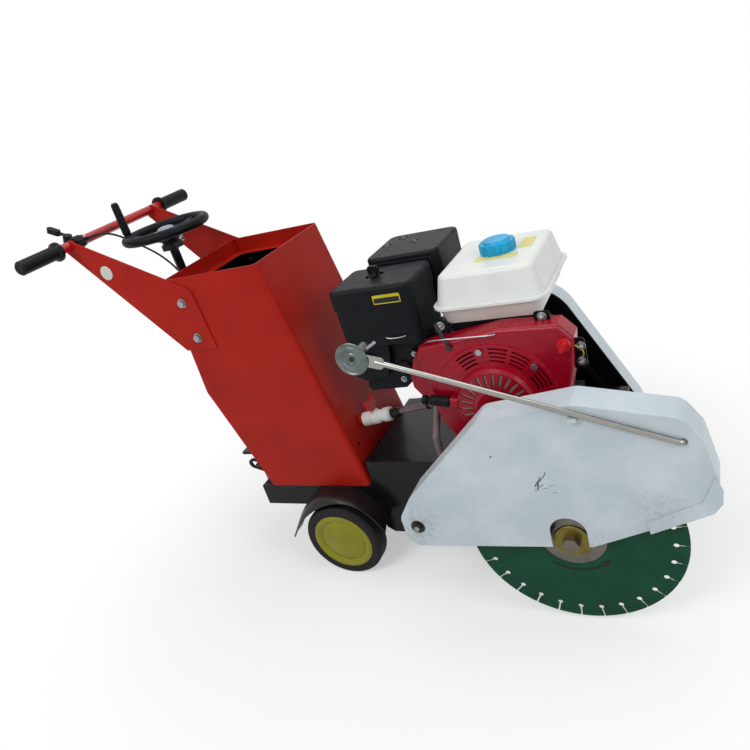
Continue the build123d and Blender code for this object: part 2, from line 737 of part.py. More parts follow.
# fan housing: shroud over the flywheel, reaching back over the cylinder
def housing_outline(inset):
    """Flat outline of the fan housing: a drum round the crank under a broad top."""
    with BuildSketch() as outline:
        with Locations((CRANK_X, CRANK_Z)):
            Circle(HOUSING_R - 14)
        with BuildLine():
            Polyline(
                polar(HOUSING_R - 14, 215),
                (HOUSING_LEFT + 20, CRANK_Z - 20),
                (HOUSING_LEFT, 560),
                (HOUSING_LEFT + 12, 574),
                (305, HOUSING_TOP),
                (418, HOUSING_TOP - 4),
                (HOUSING_RIGHT, 566),
                (HOUSING_RIGHT - 8, 500),
                polar(HOUSING_R - 14, -20),
                close=True,
            )
        make_face()
        fillet(outline.vertices().group_by(Axis.Y)[-1], 12)
        if inset > 0:
            offset(amount=-inset)
    return outline.sketch


HOUSING_ROUND = 9.0      # rounding of the near rim

with BuildPart() as housing_cavity:
    with BuildSketch(side_plane(HOUSING_BACK)):
        add(housing_outline(ENGINE_SHEET))
    extrude(amount=HOUSING_BACK - HOUSING_FACE - ENGINE_SHEET)
    fillet(housing_cavity.faces().sort_by(Axis.Y)[0].edges(), HOUSING_ROUND - ENGINE_SHEET)

with BuildPart() as fan_housing:
    with BuildSketch(side_plane(HOUSING_BACK)):
        add(housing_outline(0))
    extrude(amount=HOUSING_BACK - HOUSING_FACE)
    near_rim = fan_housing.faces().sort_by(Axis.Y)[0].edges()
    fillet(near_rim, HOUSING_ROUND)
    add(housing_cavity.part, mode=Mode.SUBTRACT)
    # raised ring that carries the louvres
    with BuildSketch(side_plane(HOUSING_FACE)):
        with Locations((CRANK_X, CRANK_Z)):
            Circle(LOUVRE_IN + LOUVRE_ROWS * LOUVRE_PITCH)
            Circle(RECOIL_SEAT_R - 4, mode=Mode.SUBTRACT)
    extrude(amount=4, taper=20)
    # curved louvre slots
    with BuildSketch(side_plane(HOUSING_FACE - 4)):
        for first, last in LOUVRE_GROUPS:
            for row in range(LOUVRE_ROWS):
                radius = LOUVRE_IN + row * LOUVRE_PITCH
                with BuildLine():
                    arc = CenterArc((CRANK_X, CRANK_Z), radius, first, last - first)
                    low = CenterArc((CRANK_X, CRANK_Z), radius - LOUVRE_W, first, last - first)
                    Line(arc @ 0, low @ 0)
                    Line(arc @ 1, low @ 1)
                make_face()
    extrude(amount=-4 - ENGINE_SHEET - 1, mode=Mode.SUBTRACT)
    with BuildSketch(side_plane(HOUSING_FACE - 4)):
        for angle, radius in HOUSING_BOLTS:
            with Locations(polar(radius, angle)):
                Circle(COVER_BOLT_R)
    extrude(amount=-4 - ENGINE_SHEET - 1, mode=Mode.SUBTRACT)
    # holes for the engine switch and the control lever's pivot
    with BuildSketch(side_plane(HOUSING_FACE)):
        with Locations(SWITCH_AT, CONTROL_AT):
            Circle(CONTROL_BORE + RUN)
    extrude(amount=-ENGINE_SHEET - 1, mode=Mode.SUBTRACT)
    # opening under the recoil cover
    with BuildSketch(side_plane(HOUSING_FACE - 4)):
        with Locations((CRANK_X, CRANK_Z)):
            Circle(RECOIL_SEAT_R - 10)
    extrude(amount=-4 - ENGINE_SHEET - 1, mode=Mode.SUBTRACT)
save(fan_housing.part, "fan_housing")

# recoil cover: domed drum with radial slots, and the rope outlet at its rear
COVER_R = 82.0
COVER_BASE_R = 88.0
SLOT_COUNT = 26
SLOT_IN = 44.0
SLOT_OUT = 72.0
SLOT_W = 5.0
ROPE_ANGLE = 172.0
ROPE_Y = -166.0

with BuildPart() as recoil_cover:
    with BuildSketch(Plane.XY.offset(CRANK_Z)):
        with BuildLine():
            start = HOUSING_FACE - 4
            Polyline(
                (CRANK_X, COVER_FACE),
                (CRANK_X + 34, COVER_FACE),
                (CRANK_X + 40, COVER_FACE + 5),
                (CRANK_X + SLOT_OUT + 3, COVER_FACE + 8),
                (CRANK_X + COVER_R - 2, COVER_FACE + 16),
                (CRANK_X + COVER_R, start - 3),
                (CRANK_X + COVER_BASE_R, start - 3),
                (CRANK_X + COVER_BASE_R, start),
                (CRANK_X + COVER_R - 3, start),
                (CRANK_X + COVER_R - 5, COVER_FACE + 19),
                (CRANK_X + SLOT_OUT + 1, COVER_FACE + 11),
                (CRANK_X + 38, COVER_FACE + 8),
                (CRANK_X + 32, COVER_FACE + 3),
                (CRANK_X, COVER_FACE + 3),
                close=True,
            )
        make_face()
    revolve(axis=Axis((CRANK_X, 0, CRANK_Z), (0, 1, 0)))
    with BuildSketch(side_plane(COVER_FACE - 2)):
        with Locations((CRANK_X, CRANK_Z)):
            with PolarLocations((SLOT_IN + SLOT_OUT) / 2, SLOT_COUNT):
                SlotOverall(SLOT_OUT - SLOT_IN, SLOT_W)
    extrude(amount=-20, mode=Mode.SUBTRACT)
    # square rope outlet
    rope_plane = Plane(
        origin=(polar(COVER_R - 6, ROPE_ANGLE)[0], ROPE_Y, polar(COVER_R - 6, ROPE_ANGLE)[1]),
        x_dir=(0, 1, 0),
        z_dir=(math.cos(math.radians(ROPE_ANGLE)), 0, math.sin(math.radians(ROPE_ANGLE))),
    )
    with BuildSketch(rope_plane):
        RectangleRounded(18, 22, 4)
    extrude(amount=16)
    with BuildSketch(rope_plane):
        Circle(2.5)
    extrude(amount=20, both=True, mode=Mode.SUBTRACT)
save(recoil_cover.part, "recoil_cover")

# fuel tank: two pressed shells on a seam flange
FUEL_X0 = 168.0
FUEL_X1 = 399.0
FUEL_Y0 = -116.0
FUEL_Y1 = 140.0
FUEL_FLANGE_Z = 632.0
FUEL_FLANGE_T = 5.0
FUEL_TOP = 698.0
FUEL_WALL = 3.0
FUEL_ROOF = 12.0        # from the top of the tank down to its hollow
FUEL_NECK_R = 30.0
CAP_X = 290.0
CAP_Y = 10.0
FUEL_MID = ((FUEL_X0 + FUEL_X1) / 2, (FUEL_Y0 + FUEL_Y1) / 2)
FUEL_W = FUEL_X1 - FUEL_X0
FUEL_D = FUEL_Y1 - FUEL_Y0
FUEL_LIP = 7.0
NECK_TOP = FUEL_TOP + 9.0

with BuildPart() as fuel_tank:
    with BuildSketch(Plane.XY.offset(FUEL_FLANGE_Z)):
        with Locations(FUEL_MID):
            RectangleRounded(FUEL_W, FUEL_D, 34)
    extrude(amount=FUEL_FLANGE_T)
    with BuildSketch(Plane.XY.offset(FUEL_FLANGE_Z + FUEL_FLANGE_T)):
        with Locations(FUEL_MID):
            RectangleRounded(FUEL_W - 2 * FUEL_LIP, FUEL_D - 2 * FUEL_LIP, 30)
    extrude(amount=FUEL_TOP - FUEL_FLANGE_Z - FUEL_FLANGE_T, taper=14)
    top_rim = fuel_tank.faces().sort_by(Axis.Z)[-1].edges()
    fillet(top_rim, 12)
    with BuildSketch(Plane.XY.offset(FUEL_FLANGE_Z)):
        with Locations(FUEL_MID):
            RectangleRounded(FUEL_W - 2 * FUEL_LIP, FUEL_D - 2 * FUEL_LIP, 30)
    extrude(amount=TANK_PAN_Z - FUEL_FLANGE_Z, taper=20)
    # filler neck
    with BuildSketch(Plane.XY.offset(FUEL_TOP - 6)):
        with Locations((CAP_X, CAP_Y)):
            Circle(FUEL_NECK_R)
    extrude(amount=NECK_TOP - FUEL_TOP + 6)
    with BuildSketch(Plane.XY.offset(NECK_TOP)):
        with Locations((CAP_X, CAP_Y)):
            Circle(FUEL_NECK_R - 3)
    extrude(amount=FUEL_TOP - FUEL_ROOF + FUEL_WALL - NECK_TOP, mode=Mode.SUBTRACT)
    # hollow between the two shells
    inner = (FUEL_W - 2 * (FUEL_LIP + FUEL_WALL), FUEL_D - 2 * (FUEL_LIP + FUEL_WALL))
    with BuildSketch(Plane.XY.offset(FUEL_FLANGE_Z)):
        with Locations(FUEL_MID):
            RectangleRounded(*inner, 27)
    extrude(amount=FUEL_TOP - FUEL_ROOF - FUEL_FLANGE_Z, taper=14, mode=Mode.SUBTRACT)
    with BuildSketch(Plane.XY.offset(FUEL_FLANGE_Z)):
        with Locations(FUEL_MID):
            RectangleRounded(*inner, 27)
    extrude(amount=TANK_PAN_Z + FUEL_WALL - FUEL_FLANGE_Z, taper=20, mode=Mode.SUBTRACT)
save(fuel_tank.part, "fuel_tank")

CAP_R = 36.0
CAP_TOP = 724.0
CAP_LOBES = 12

with BuildPart() as fuel_cap:
    with BuildSketch(Plane.XY.offset(FUEL_TOP + SEAT)):
        with Locations((CAP_X, CAP_Y)):
            Circle(CAP_R)
            with PolarLocations(CAP_R + 2.5, CAP_LOBES):
                Circle(6, mode=Mode.SUBTRACT)
    extrude(amount=CAP_TOP - 5 - FUEL_TOP - SEAT)
    with BuildSketch(Plane.XY.offset(CAP_TOP - 5)):
        with Locations((CAP_X, CAP_Y)):
            Circle(CAP_R - 7)
    extrude(amount=5, taper=30)
    with BuildSketch(Plane.XY.offset(FUEL_TOP + SEAT)):
        with Locations((CAP_X, CAP_Y)):
            Circle(FUEL_NECK_R + RUN)
    extrude(amount=NECK_TOP - FUEL_TOP, mode=Mode.SUBTRACT)
save(fuel_cap.part, "fuel_cap")

# air cleaner and its wing knob
AIR_X0 = -37.0
AIR_X1 = 149.0
AIR_Y0 = -135.0
AIR_Y1 = 2.0
AIR_Z0 = 580.0
AIR_Z1 = 708.0
AIR_KNOB = (44.0, -60.0)
AIR_MID = ((AIR_X0 + AIR_X1) / 2, (AIR_Y0 + AIR_Y1) / 2)
AIR_LID = 42.0

with BuildPart() as air_cleaner:
    with BuildSketch(Plane.XY.offset(AIR_Z0)):
        with Locations(AIR_MID):
            RectangleRounded(AIR_X1 - AIR_X0 - 8, AIR_Y1 - AIR_Y0 - 8, 16)
    extrude(amount=AIR_Z1 - AIR_LID - AIR_Z0, taper=-1.5)
    with BuildSketch(Plane.XY.offset(AIR_Z1 - AIR_LID)):
        with Locations(AIR_MID):
            RectangleRounded(AIR_X1 - AIR_X0, AIR_Y1 - AIR_Y0, 18)
    extrude(amount=AIR_LID)
    fillet(air_cleaner.faces().sort_by(Axis.Z)[-1].edges(), 9)
    # recess for the wing knob
    with BuildSketch(Plane.XY.offset(AIR_Z1)):
        with Locations(AIR_KNOB):
            Circle(20)
    extrude(amount=-3, mode=Mode.SUBTRACT)
    with BuildSketch(Plane.XY.offset(AIR_Z1 - 3)):
        with Locations(AIR_KNOB):
            Circle(4)
    extrude(amount=-14, mode=Mode.SUBTRACT)
save(air_cleaner.part, "air_cleaner")

with BuildPart() as air_knob:
    with BuildSketch(Plane.XY.offset(AIR_Z1 - 3)):
        with Locations(AIR_KNOB):
            Circle(11)
    extrude(amount=9)
    with BuildSketch(Plane.XY.offset(AIR_Z1 + 1)):
        with Locations(AIR_KNOB):
            SlotOverall(36, 7, rotation=20)
    extrude(amount=11)
    with BuildSketch(Plane.XY.offset(AIR_Z1 - 3)):
        with Locations(AIR_KNOB):
            Circle(4)
    extrude(amount=-12)
save(air_knob.part, "air_cleaner_knob")

# muffler with a pressed guard
MUF_X0 = -10.0
MUF_X1 = 160.0
MUF_Y0 = 12.0
MUF_Y1 = 178.0
MUF_Z0 = 600.0
MUF_Z1 = 722.0
MUF_MID = ((MUF_X0 + MUF_X1) / 2, (MUF_Y0 + MUF_Y1) / 2)
MUF_SEATS = ((11.0, 100.0), (77.0, 103.0), (34.0, 145.0))
MUF_DISH = 1.5
MUF_WALL = 3.0

with BuildPart() as muffler:
    with BuildSketch(Plane.XY.offset(MUF_Z0)):
        with Locations(MUF_MID):
            RectangleRounded(MUF_X1 - MUF_X0, MUF_Y1 - MUF_Y0, 22)
    extrude(amount=MUF_Z1 - MUF_Z0)
    fillet(muffler.faces().sort_by(Axis.Z)[-1].edges(), 7)
    # dished seats of the three guard bolts
    with BuildSketch(Plane.XY.offset(MUF_Z1)):
        for seat in MUF_SEATS:
            with Locations(seat):
                SlotOverall(22, 14, rotation=35)
    extrude(amount=-MUF_DISH, mode=Mode.SUBTRACT)
    # hollow chamber
    with BuildSketch(Plane.XY.offset(MUF_Z0 + MUF_WALL)):
        with Locations(MUF_MID):
            RectangleRounded(MUF_X1 - MUF_X0 - 2 * MUF_WALL, MUF_Y1 - MUF_Y0 - 2 * MUF_WALL, 18)
    extrude(amount=MUF_Z1 - MUF_Z0 - 2 * MUF_WALL - MUF_DISH, mode=Mode.SUBTRACT)
    # exhaust flange down to the cylinder head
    with BuildSketch(Plane.XY.offset(MUF_Z0)):
        with Locations(EXHAUST):
            RectangleRounded(56, 46, 8)
    extrude(amount=EXHAUST_Z - MUF_Z0)
save(muffler.part, "muffler")

with BuildPart() as carburettor:
    with BuildSketch(side_plane(CARB_BACK)):
        with BuildLine():
            Polyline(
                (-48, AIR_Z0 - 0.3),
                (-40, 508),
                (-14, 494),
                (36, 500),
                (52, 530),
                (60, AIR_Z0 - 0.3),
                close=True,
            )
        make_face()
    extrude(amount=82)
    fillet(carburettor.edges().filter_by(Axis.Y), 5)
    with BuildSketch(side_plane(-118)):
        with Locations((4, 540)):
            Circle(20)
    extrude(amount=8, taper=15)
save(carburettor.part, "carburettor")

# ---------------------------------------------------------------- belt drive

PULLEY_W = 38.0
GROOVE_DEPTH = 9.0
CRANK_END = 232.0
HUB_R = 24.0


def pulley(radius, bore, x, z):
    """Two-groove V-belt pulley with a dished web."""
    with BuildPart() as wheel:
        half = PULLEY_W / 2
        with BuildSketch(Plane.XY.offset(z)):
            with BuildLine():
                Polyline(
                    (x + bore, BELT_Y - half),
                    (x + HUB_R, BELT_Y - half),
                    (x + HUB_R + 2, BELT_Y - half + 7),
                    (x + radius - GROOVE_DEPTH - 8, BELT_Y - half + 7),
                    (x + radius - GROOVE_DEPTH - 5, BELT_Y - half),
                    (x + radius, BELT_Y - half),
                    (x + radius, BELT_Y + half),
                    (x + radius - GROOVE_DEPTH - 5, BELT_Y + half),
                    (x + radius - GROOVE_DEPTH - 8, BELT_Y + half - 7),
                    (x + HUB_R + 2, BELT_Y + half - 7),
                    (x + HUB_R, BELT_Y + half),
                    (x + bore, BELT_Y + half),
                    close=True,
                )
            make_face()
            for side in (-1, 1):
                middle = BELT_Y + side * BELT_PITCH / 2
                with BuildLine():
                    Polyline(
                        (x + radius + 0.1, middle - BELT_W / 2 - 0.6),
                        (x + radius - GROOVE_DEPTH, middle - BELT_W / 2 + 2),
                        (x + radius - GROOVE_DEPTH, middle + BELT_W / 2 - 2),
                        (x + radius + 0.1, middle + BELT_W / 2 + 0.6),
                        close=True,
                    )
                make_face(mode=Mode.SUBTRACT)
        revolve(axis=Axis((x, 0, z), (0, 1, 0)))
    return wheel.part


save(pulley(ENGINE_PULLEY_R, SHAFT_R, CRANK_X, CRANK_Z), "engine_pulley")
save(pulley(ARBOR_PULLEY_R, ARBOR_R, ARBOR_X, ARBOR_Z), "arbor_pulley")

BELT_SINK = 0.8         # how far a belt's back stands below the pulley's rim
BELT_SPAN = math.hypot(ARBOR_X - CRANK_X, ARBOR_Z - CRANK_Z)
BELT_HEADING = math.degrees(math.atan2(ARBOR_Z - CRANK_Z, ARBOR_X - CRANK_X))


def belt_loop(r_engine, r_arbor):
    """Face bounded by the outer tangents of two circles on the pulley centres."""
    lean = math.degrees(math.asin((r_engine - r_arbor) / BELT_SPAN))
    with BuildSketch(side_plane(0)) as loop:
        with BuildLine():
            first = CenterArc(
                (CRANK_X, CRANK_Z), r_engine, BELT_HEADING + 90 - lean, 180 + 2 * lean
            )
            second = CenterArc(
                (ARBOR_X, ARBOR_Z), r_arbor, BELT_HEADING - 90 + lean, 180 - 2 * lean
            )
            Line(first @ 1, second @ 0)
            Line(second @ 1, first @ 0)
        make_face()
    return loop.sketch


with BuildPart() as belts:
    for side in (-1, 1):
        y = BELT_Y + side * BELT_PITCH / 2
        outer = belt_loop(ENGINE_PULLEY_R - BELT_SINK, ARBOR_PULLEY_R - BELT_SINK)
        inner = belt_loop(
            ENGINE_PULLEY_R - BELT_SINK - BELT_T + 1.5, ARBOR_PULLEY_R - BELT_SINK - BELT_T + 1.5
        )
        width = BELT_W - 3.6
        add(extrude(outer.moved(Location((0, y + width / 2, 0))), amount=width, mode=Mode.PRIVATE))
        add(
            extrude(inner.moved(Location((0, y + width / 2, 0))), amount=width, mode=Mode.PRIVATE),
            mode=Mode.SUBTRACT,
        )
save(belts.part, "drive_belts")

with BuildPart() as crankshaft:
    with BuildSketch(side_plane(CRANK_END)):
        with Locations((CRANK_X, CRANK_Z)):
            Circle(SHAFT_R)
    extrude(amount=CRANK_END - HOUSING_FACE - 2)
    chamfer(crankshaft.edges().filter_by(GeomType.CIRCLE), 1.5)
save(crankshaft.part, "crankshaft")

FAN_BLADES = 20
FAN_R = 96.0
FAN_BACK = BLOCK_NEAR - 12.0
FAN_FRONT = HOUSING_FACE + 8.0

with BuildPart() as flywheel:
    with BuildSketch(side_plane(FAN_BACK)):
        with Locations((CRANK_X, CRANK_Z)):
            Circle(FAN_R)
            Circle(SHAFT_R, mode=Mode.SUBTRACT)
    extrude(amount=16)
    with BuildSketch(side_plane(FAN_BACK - 16)):
        with Locations((CRANK_X, CRANK_Z)):
            Circle(30)
            Circle(SHAFT_R, mode=Mode.SUBTRACT)
            with PolarLocations(68, FAN_BLADES):
                Rectangle(50, 3.2, rotation=24)
    extrude(amount=FAN_BACK - 16 - FAN_FRONT)
save(flywheel.part, "flywheel_fan")

ARBOR_END = BELT_Y + PULLEY_W / 2 + 4
INNER_FLANGE_W = 22.0
OUTER_FLANGE_T = 10.0
NUT_H = 16.0
BLADE_NEAR = BLADE_Y - BLADE_T / 2
BLADE_FAR = BLADE_Y + BLADE_T / 2
NOSE_R = 12.7           # 25.4 mm blade bore

with BuildPart() as arbor:
    with BuildSketch(side_plane(ARBOR_END)):
        with Locations((ARBOR_X, ARBOR_Z)):
            Circle(ARBOR_R)
    extrude(amount=ARBOR_END - BLADE_FAR - 6)
    with BuildSketch(side_plane(BLADE_FAR + 6)):
        with Locations((ARBOR_X, ARBOR_Z)):
            Circle(NOSE_R)
    extrude(amount=6 + BLADE_T + OUTER_FLANGE_T)
    # collars against the bearings
    for y in (-BEARING_Y - 26, BEARING_Y + 34):
        with BuildSketch(side_plane(y)):
            with Locations((ARBOR_X, ARBOR_Z)):
                Circle(ARBOR_R + 6)
        extrude(amount=8)
    # tapped end for the blade bolt
    with BuildSketch(side_plane(BLADE_NEAR - OUTER_FLANGE_T)):
        with Locations((ARBOR_X, ARBOR_Z)):
            Circle(6)
    extrude(amount=-44, mode=Mode.SUBTRACT)
save(arbor.part, "arbor_shaft")

with BuildPart() as inner_flange:
    with BuildSketch(Plane.XY.offset(ARBOR_Z)):
        with BuildLine():
            Polyline(
                (ARBOR_X + NOSE_R, BLADE_FAR),
                (ARBOR_X + FLANGE_R, BLADE_FAR),
                (ARBOR_X + FLANGE_R, BLADE_FAR + 6),
                (ARBOR_X + ARBOR_R + 12, BLADE_FAR + 10),
                (ARBOR_X + ARBOR_R + 12, BLADE_FAR + INNER_FLANGE_W),
                (ARBOR_X + ARBOR_R, BLADE_FAR + INNER_FLANGE_W),
                (ARBOR_X + ARBOR_R, BLADE_FAR + 6),
                (ARBOR_X + NOSE_R, BLADE_FAR + 6),
                close=True,
            )
        make_face()
    revolve(axis=Axis((ARBOR_X, 0, ARBOR_Z), (0, 1, 0)))
save(inner_flange.part, "inner_flange")

with BuildPart() as outer_flange:
    with BuildSketch(Plane.XY.offset(ARBOR_Z)):
        with BuildLine():
            Polyline(
                (ARBOR_X + NOSE_R, BLADE_NEAR),
                (ARBOR_X + FLANGE_R, BLADE_NEAR),
                (ARBOR_X + FLANGE_R, BLADE_NEAR - 3),
                (ARBOR_X + FLANGE_R - 22, BLADE_NEAR - OUTER_FLANGE_T),
                (ARBOR_X + NOSE_R, BLADE_NEAR - OUTER_FLANGE_T),
                close=True,
            )
        make_face()
    revolve(axis=Axis((ARBOR_X, 0, ARBOR_Z), (0, 1, 0)))
    # drive pin hole
    with BuildSketch(side_plane(BLADE_NEAR)):
        with Locations((ARBOR_X + 30, ARBOR_Z)):
            Circle(4)
    extrude(amount=OUTER_FLANGE_T, mode=Mode.SUBTRACT)
save(outer_flange.part, "outer_flange")

with BuildPart() as arbor_bolt:
    with BuildSketch(side_plane(BLADE_NEAR - OUTER_FLANGE_T)):
        with Locations((ARBOR_X, ARBOR_Z)):
            Circle(26)
    extrude(amount=3)
    with BuildSketch(side_plane(BLADE_NEAR - OUTER_FLANGE_T - 3)):
        with Locations((ARBOR_X, ARBOR_Z)):
            RegularPolygon(17, 6)
    extrude(amount=NUT_H)
    with BuildSketch(side_plane(BLADE_NEAR - OUTER_FLANGE_T)):
        with Locations((ARBOR_X, ARBOR_Z)):
            Circle(6)
    extrude(amount=-40)
save(arbor_bolt.part, "arbor_bolt")

# diamond blade: steel core, radial gullets that end in round holes, segments on the rim
GULLET_R = 5.0
GULLET_CENTRE = 0.885 * BLADE_R
GULLET_W = 3.0
CORE_R = BLADE_R - SEGMENT_H
FIRST_GULLET = -158.0

with BuildPart() as blade:
    with BuildSketch(side_plane(BLADE_Y + BLADE_T / 2 - 0.4)):
        with Locations((ARBOR_X, ARBOR_Z)):
            Circle(CORE_R)
    extrude(amount=BLADE_T - 0.8)
    with BuildSketch(side_plane(BLADE_Y + BLADE_T / 2)):
        with Locations((ARBOR_X, ARBOR_Z)):
            Circle(BLADE_R)
            Circle(CORE_R, mode=Mode.SUBTRACT)
            Circle(FLANGE_R + 4)
    extrude(amount=BLADE_T)
    with BuildSketch(side_plane(BLADE_Y + BLADE_T)):
        with Locations((ARBOR_X, ARBOR_Z)):
            with PolarLocations(GULLET_CENTRE, SEGMENTS, start_angle=FIRST_GULLET):
                Circle(GULLET_R)
            with PolarLocations((GULLET_CENTRE + BLADE_R) / 2 + 2, SEGMENTS, start_angle=FIRST_GULLET):
                Rectangle(BLADE_R - GULLET_CENTRE + 4, GULLET_W)
            Circle(NOSE_R)
    extrude(amount=2 * BLADE_T, mode=Mode.SUBTRACT)
save(blade.part, "blade")

# pillow blocks, hung under the crossbeam
with BuildPart() as bearings:
    for y in (-BEARING_Y, BEARING_Y):
        with BuildSketch(side_plane(y + 17)):
            with BuildLine():
                Polyline(
                    (ARBOR_X - 62, BEARING_BASE_Z),
                    (ARBOR_X - 62, BEARING_BASE_Z - 14),
                    (ARBOR_X - 32, BEARING_BASE_Z - 20),
                    (ARBOR_X + 32, BEARING_BASE_Z - 20),
                    (ARBOR_X + 62, BEARING_BASE_Z - 14),
                    (ARBOR_X + 62, BEARING_BASE_Z),
                    close=True,
                )
            make_face()
            with Locations((ARBOR_X, ARBOR_Z)):
                Circle(37)
        extrude(amount=34)
        with BuildSketch(side_plane(y + 20)):
            with Locations((ARBOR_X, ARBOR_Z)):
                Circle(27)
        extrude(amount=40)
        with BuildSketch(side_plane(y + 22)):
            with Locations((ARBOR_X, ARBOR_Z)):
                Circle(ARBOR_R + RUN)
        extrude(amount=44, mode=Mode.SUBTRACT)
        with BuildSketch(Plane.XY.offset(BEARING_BASE_Z)):
            for x in BEARING_BOLT_X:
                with Locations((x, y)):
                    Circle(BEARING_BOLT_R)
        extrude(amount=-24, mode=Mode.SUBTRACT)
save(bearings.part, "bearing_blocks")

# belt cover: dished shell on a flat inner plate
PLATE_CUT = 10.0

with BuildPart() as belt_cover:
    outer = belt_loop(COVER_R_ENGINE, COVER_R_ARBOR)
    inner = belt_loop(COVER_R_ENGINE - COVER_SHEET, COVER_R_ARBOR - COVER_SHEET)
    depth = COVER_OUT - COVER_IN - SHEET
    add(extrude(outer.moved(Location((0, COVER_OUT, 0))), amount=depth, mode=Mode.PRIVATE))
    fillet(belt_cover.faces().sort_by(Axis.Y)[-1].edges(), 6)
    add(
        extrude(inner.moved(Location((0, COVER_OUT - COVER_SHEET, 0))), amount=depth, mode=Mode.PRIVATE),
        mode=Mode.SUBTRACT,
    )
save(belt_cover.part, "belt_guard")

with BuildPart() as belt_plate:
    plate = belt_loop(COVER_R_ENGINE, COVER_R_ARBOR)
    add(extrude(plate.moved(Location((0, COVER_IN + SHEET, 0))), amount=SHEET, mode=Mode.PRIVATE))
    with BuildSketch(side_plane(COVER_IN + 2 * SHEET)):
        with Locations((CRANK_X, CRANK_Z)):
            Circle(SHAFT_R + PLATE_CUT)
        with Locations((ARBOR_X, ARBOR_Z)):
            Circle(ARBOR_R + PLATE_CUT)
    extrude(amount=3 * SHEET, mode=Mode.SUBTRACT)
    # brackets to the side plate of the chassis
    with BuildSketch(side_plane(COVER_IN)):
        with Locations((ARBOR_X - 50, BED_TOP - 40), (ARBOR_X + 46, BED_TOP - 40)):
            Rectangle(24, 24)
    extrude(amount=COVER_IN - FRAME_HALF)
    # stiffening strut across the near face
    with BuildSketch(side_plane(COVER_IN)):
        with Locations(((CRANK_X + ARBOR_X) / 2 + 44, (CRANK_Z + ARBOR_Z) / 2 + 6)):
            Rectangle(150, 14, rotation=-60)
    extrude(amount=6)
save(belt_plate.part, "belt_guard_plate")

# ---------------------------------------------------------------- blade guard

GUARD_TOP = (454.0, 516.0)
GUARD_OUTLINE = (
    (75.0, 196.0),
    (72.0, 268.0),
    (106.0, 319.0),
    (282.0, 489.0),
    GUARD_TOP,
    (620.0, 482.0),
    (648.0, 440.0),
    (667.0, 352.0),
    (663.0, 318.0),
    (547.0, 255.0),
    (449.0, 213.0),
)
GUARD_STRIP = 26.0
LUG_H = 205.0           # strap of the inner side that carries the lug over the rest
LUG_T = 5.0
ROD_LEAN = math.atan2(ROD_END[1] - ROD_EYE[1], ROD_EYE[0] - ROD_END[0])
PEG_X = 454.0
PEG_W = 14.0
PEG_H = 8.0
NOSE_OUTLINE = (
    (552.0, 250.0),
    (655.0, 298.0),
    (669.0, 318.0),
    (671.0, 345.0),
    (660.0, 372.0),
    (650.0, 345.0),
    (640.0, 322.0),
    (548.0, 276.0),
)


def rod_height(x):
    """Height of the folded guide rod's middle at this X."""
    return ROD_EYE[1] + (ROD_EYE[0] - x) * math.tan(ROD_LEAN)


PEG_Z = rod_height(PEG_X + PEG_W / 2) - ROD_R / math.cos(ROD_LEAN) - SEAT - PEG_H / 2


def guard_face():
    """Outline of the guard's side, with the arbor slot left out."""
    with BuildSketch(side_plane(0)) as face:
        with BuildLine():
            Polyline(*GUARD_OUTLINE, close=True)
        make_face()
        fillet(face.vertices().group_by(Axis.Z)[-1], 30)
        corners = face.vertices().filter_by(lambda v: v.X > 600 or v.Z > 480 or v.X < 80)
        fillet(corners.filter_by(lambda v: v.Z > 250), 16)
    return face.sketch


def guard_slab(y, thickness, inset):
    """The guard's outline moved in by the inset and extruded toward -Y."""
    face = guard_face()
    if inset > 0:
        face = offset(face, amount=-inset, mode=Mode.PRIVATE)
    return extrude(face.moved(Location((0, y, 0))), amount=thickness, mode=Mode.PRIVATE)


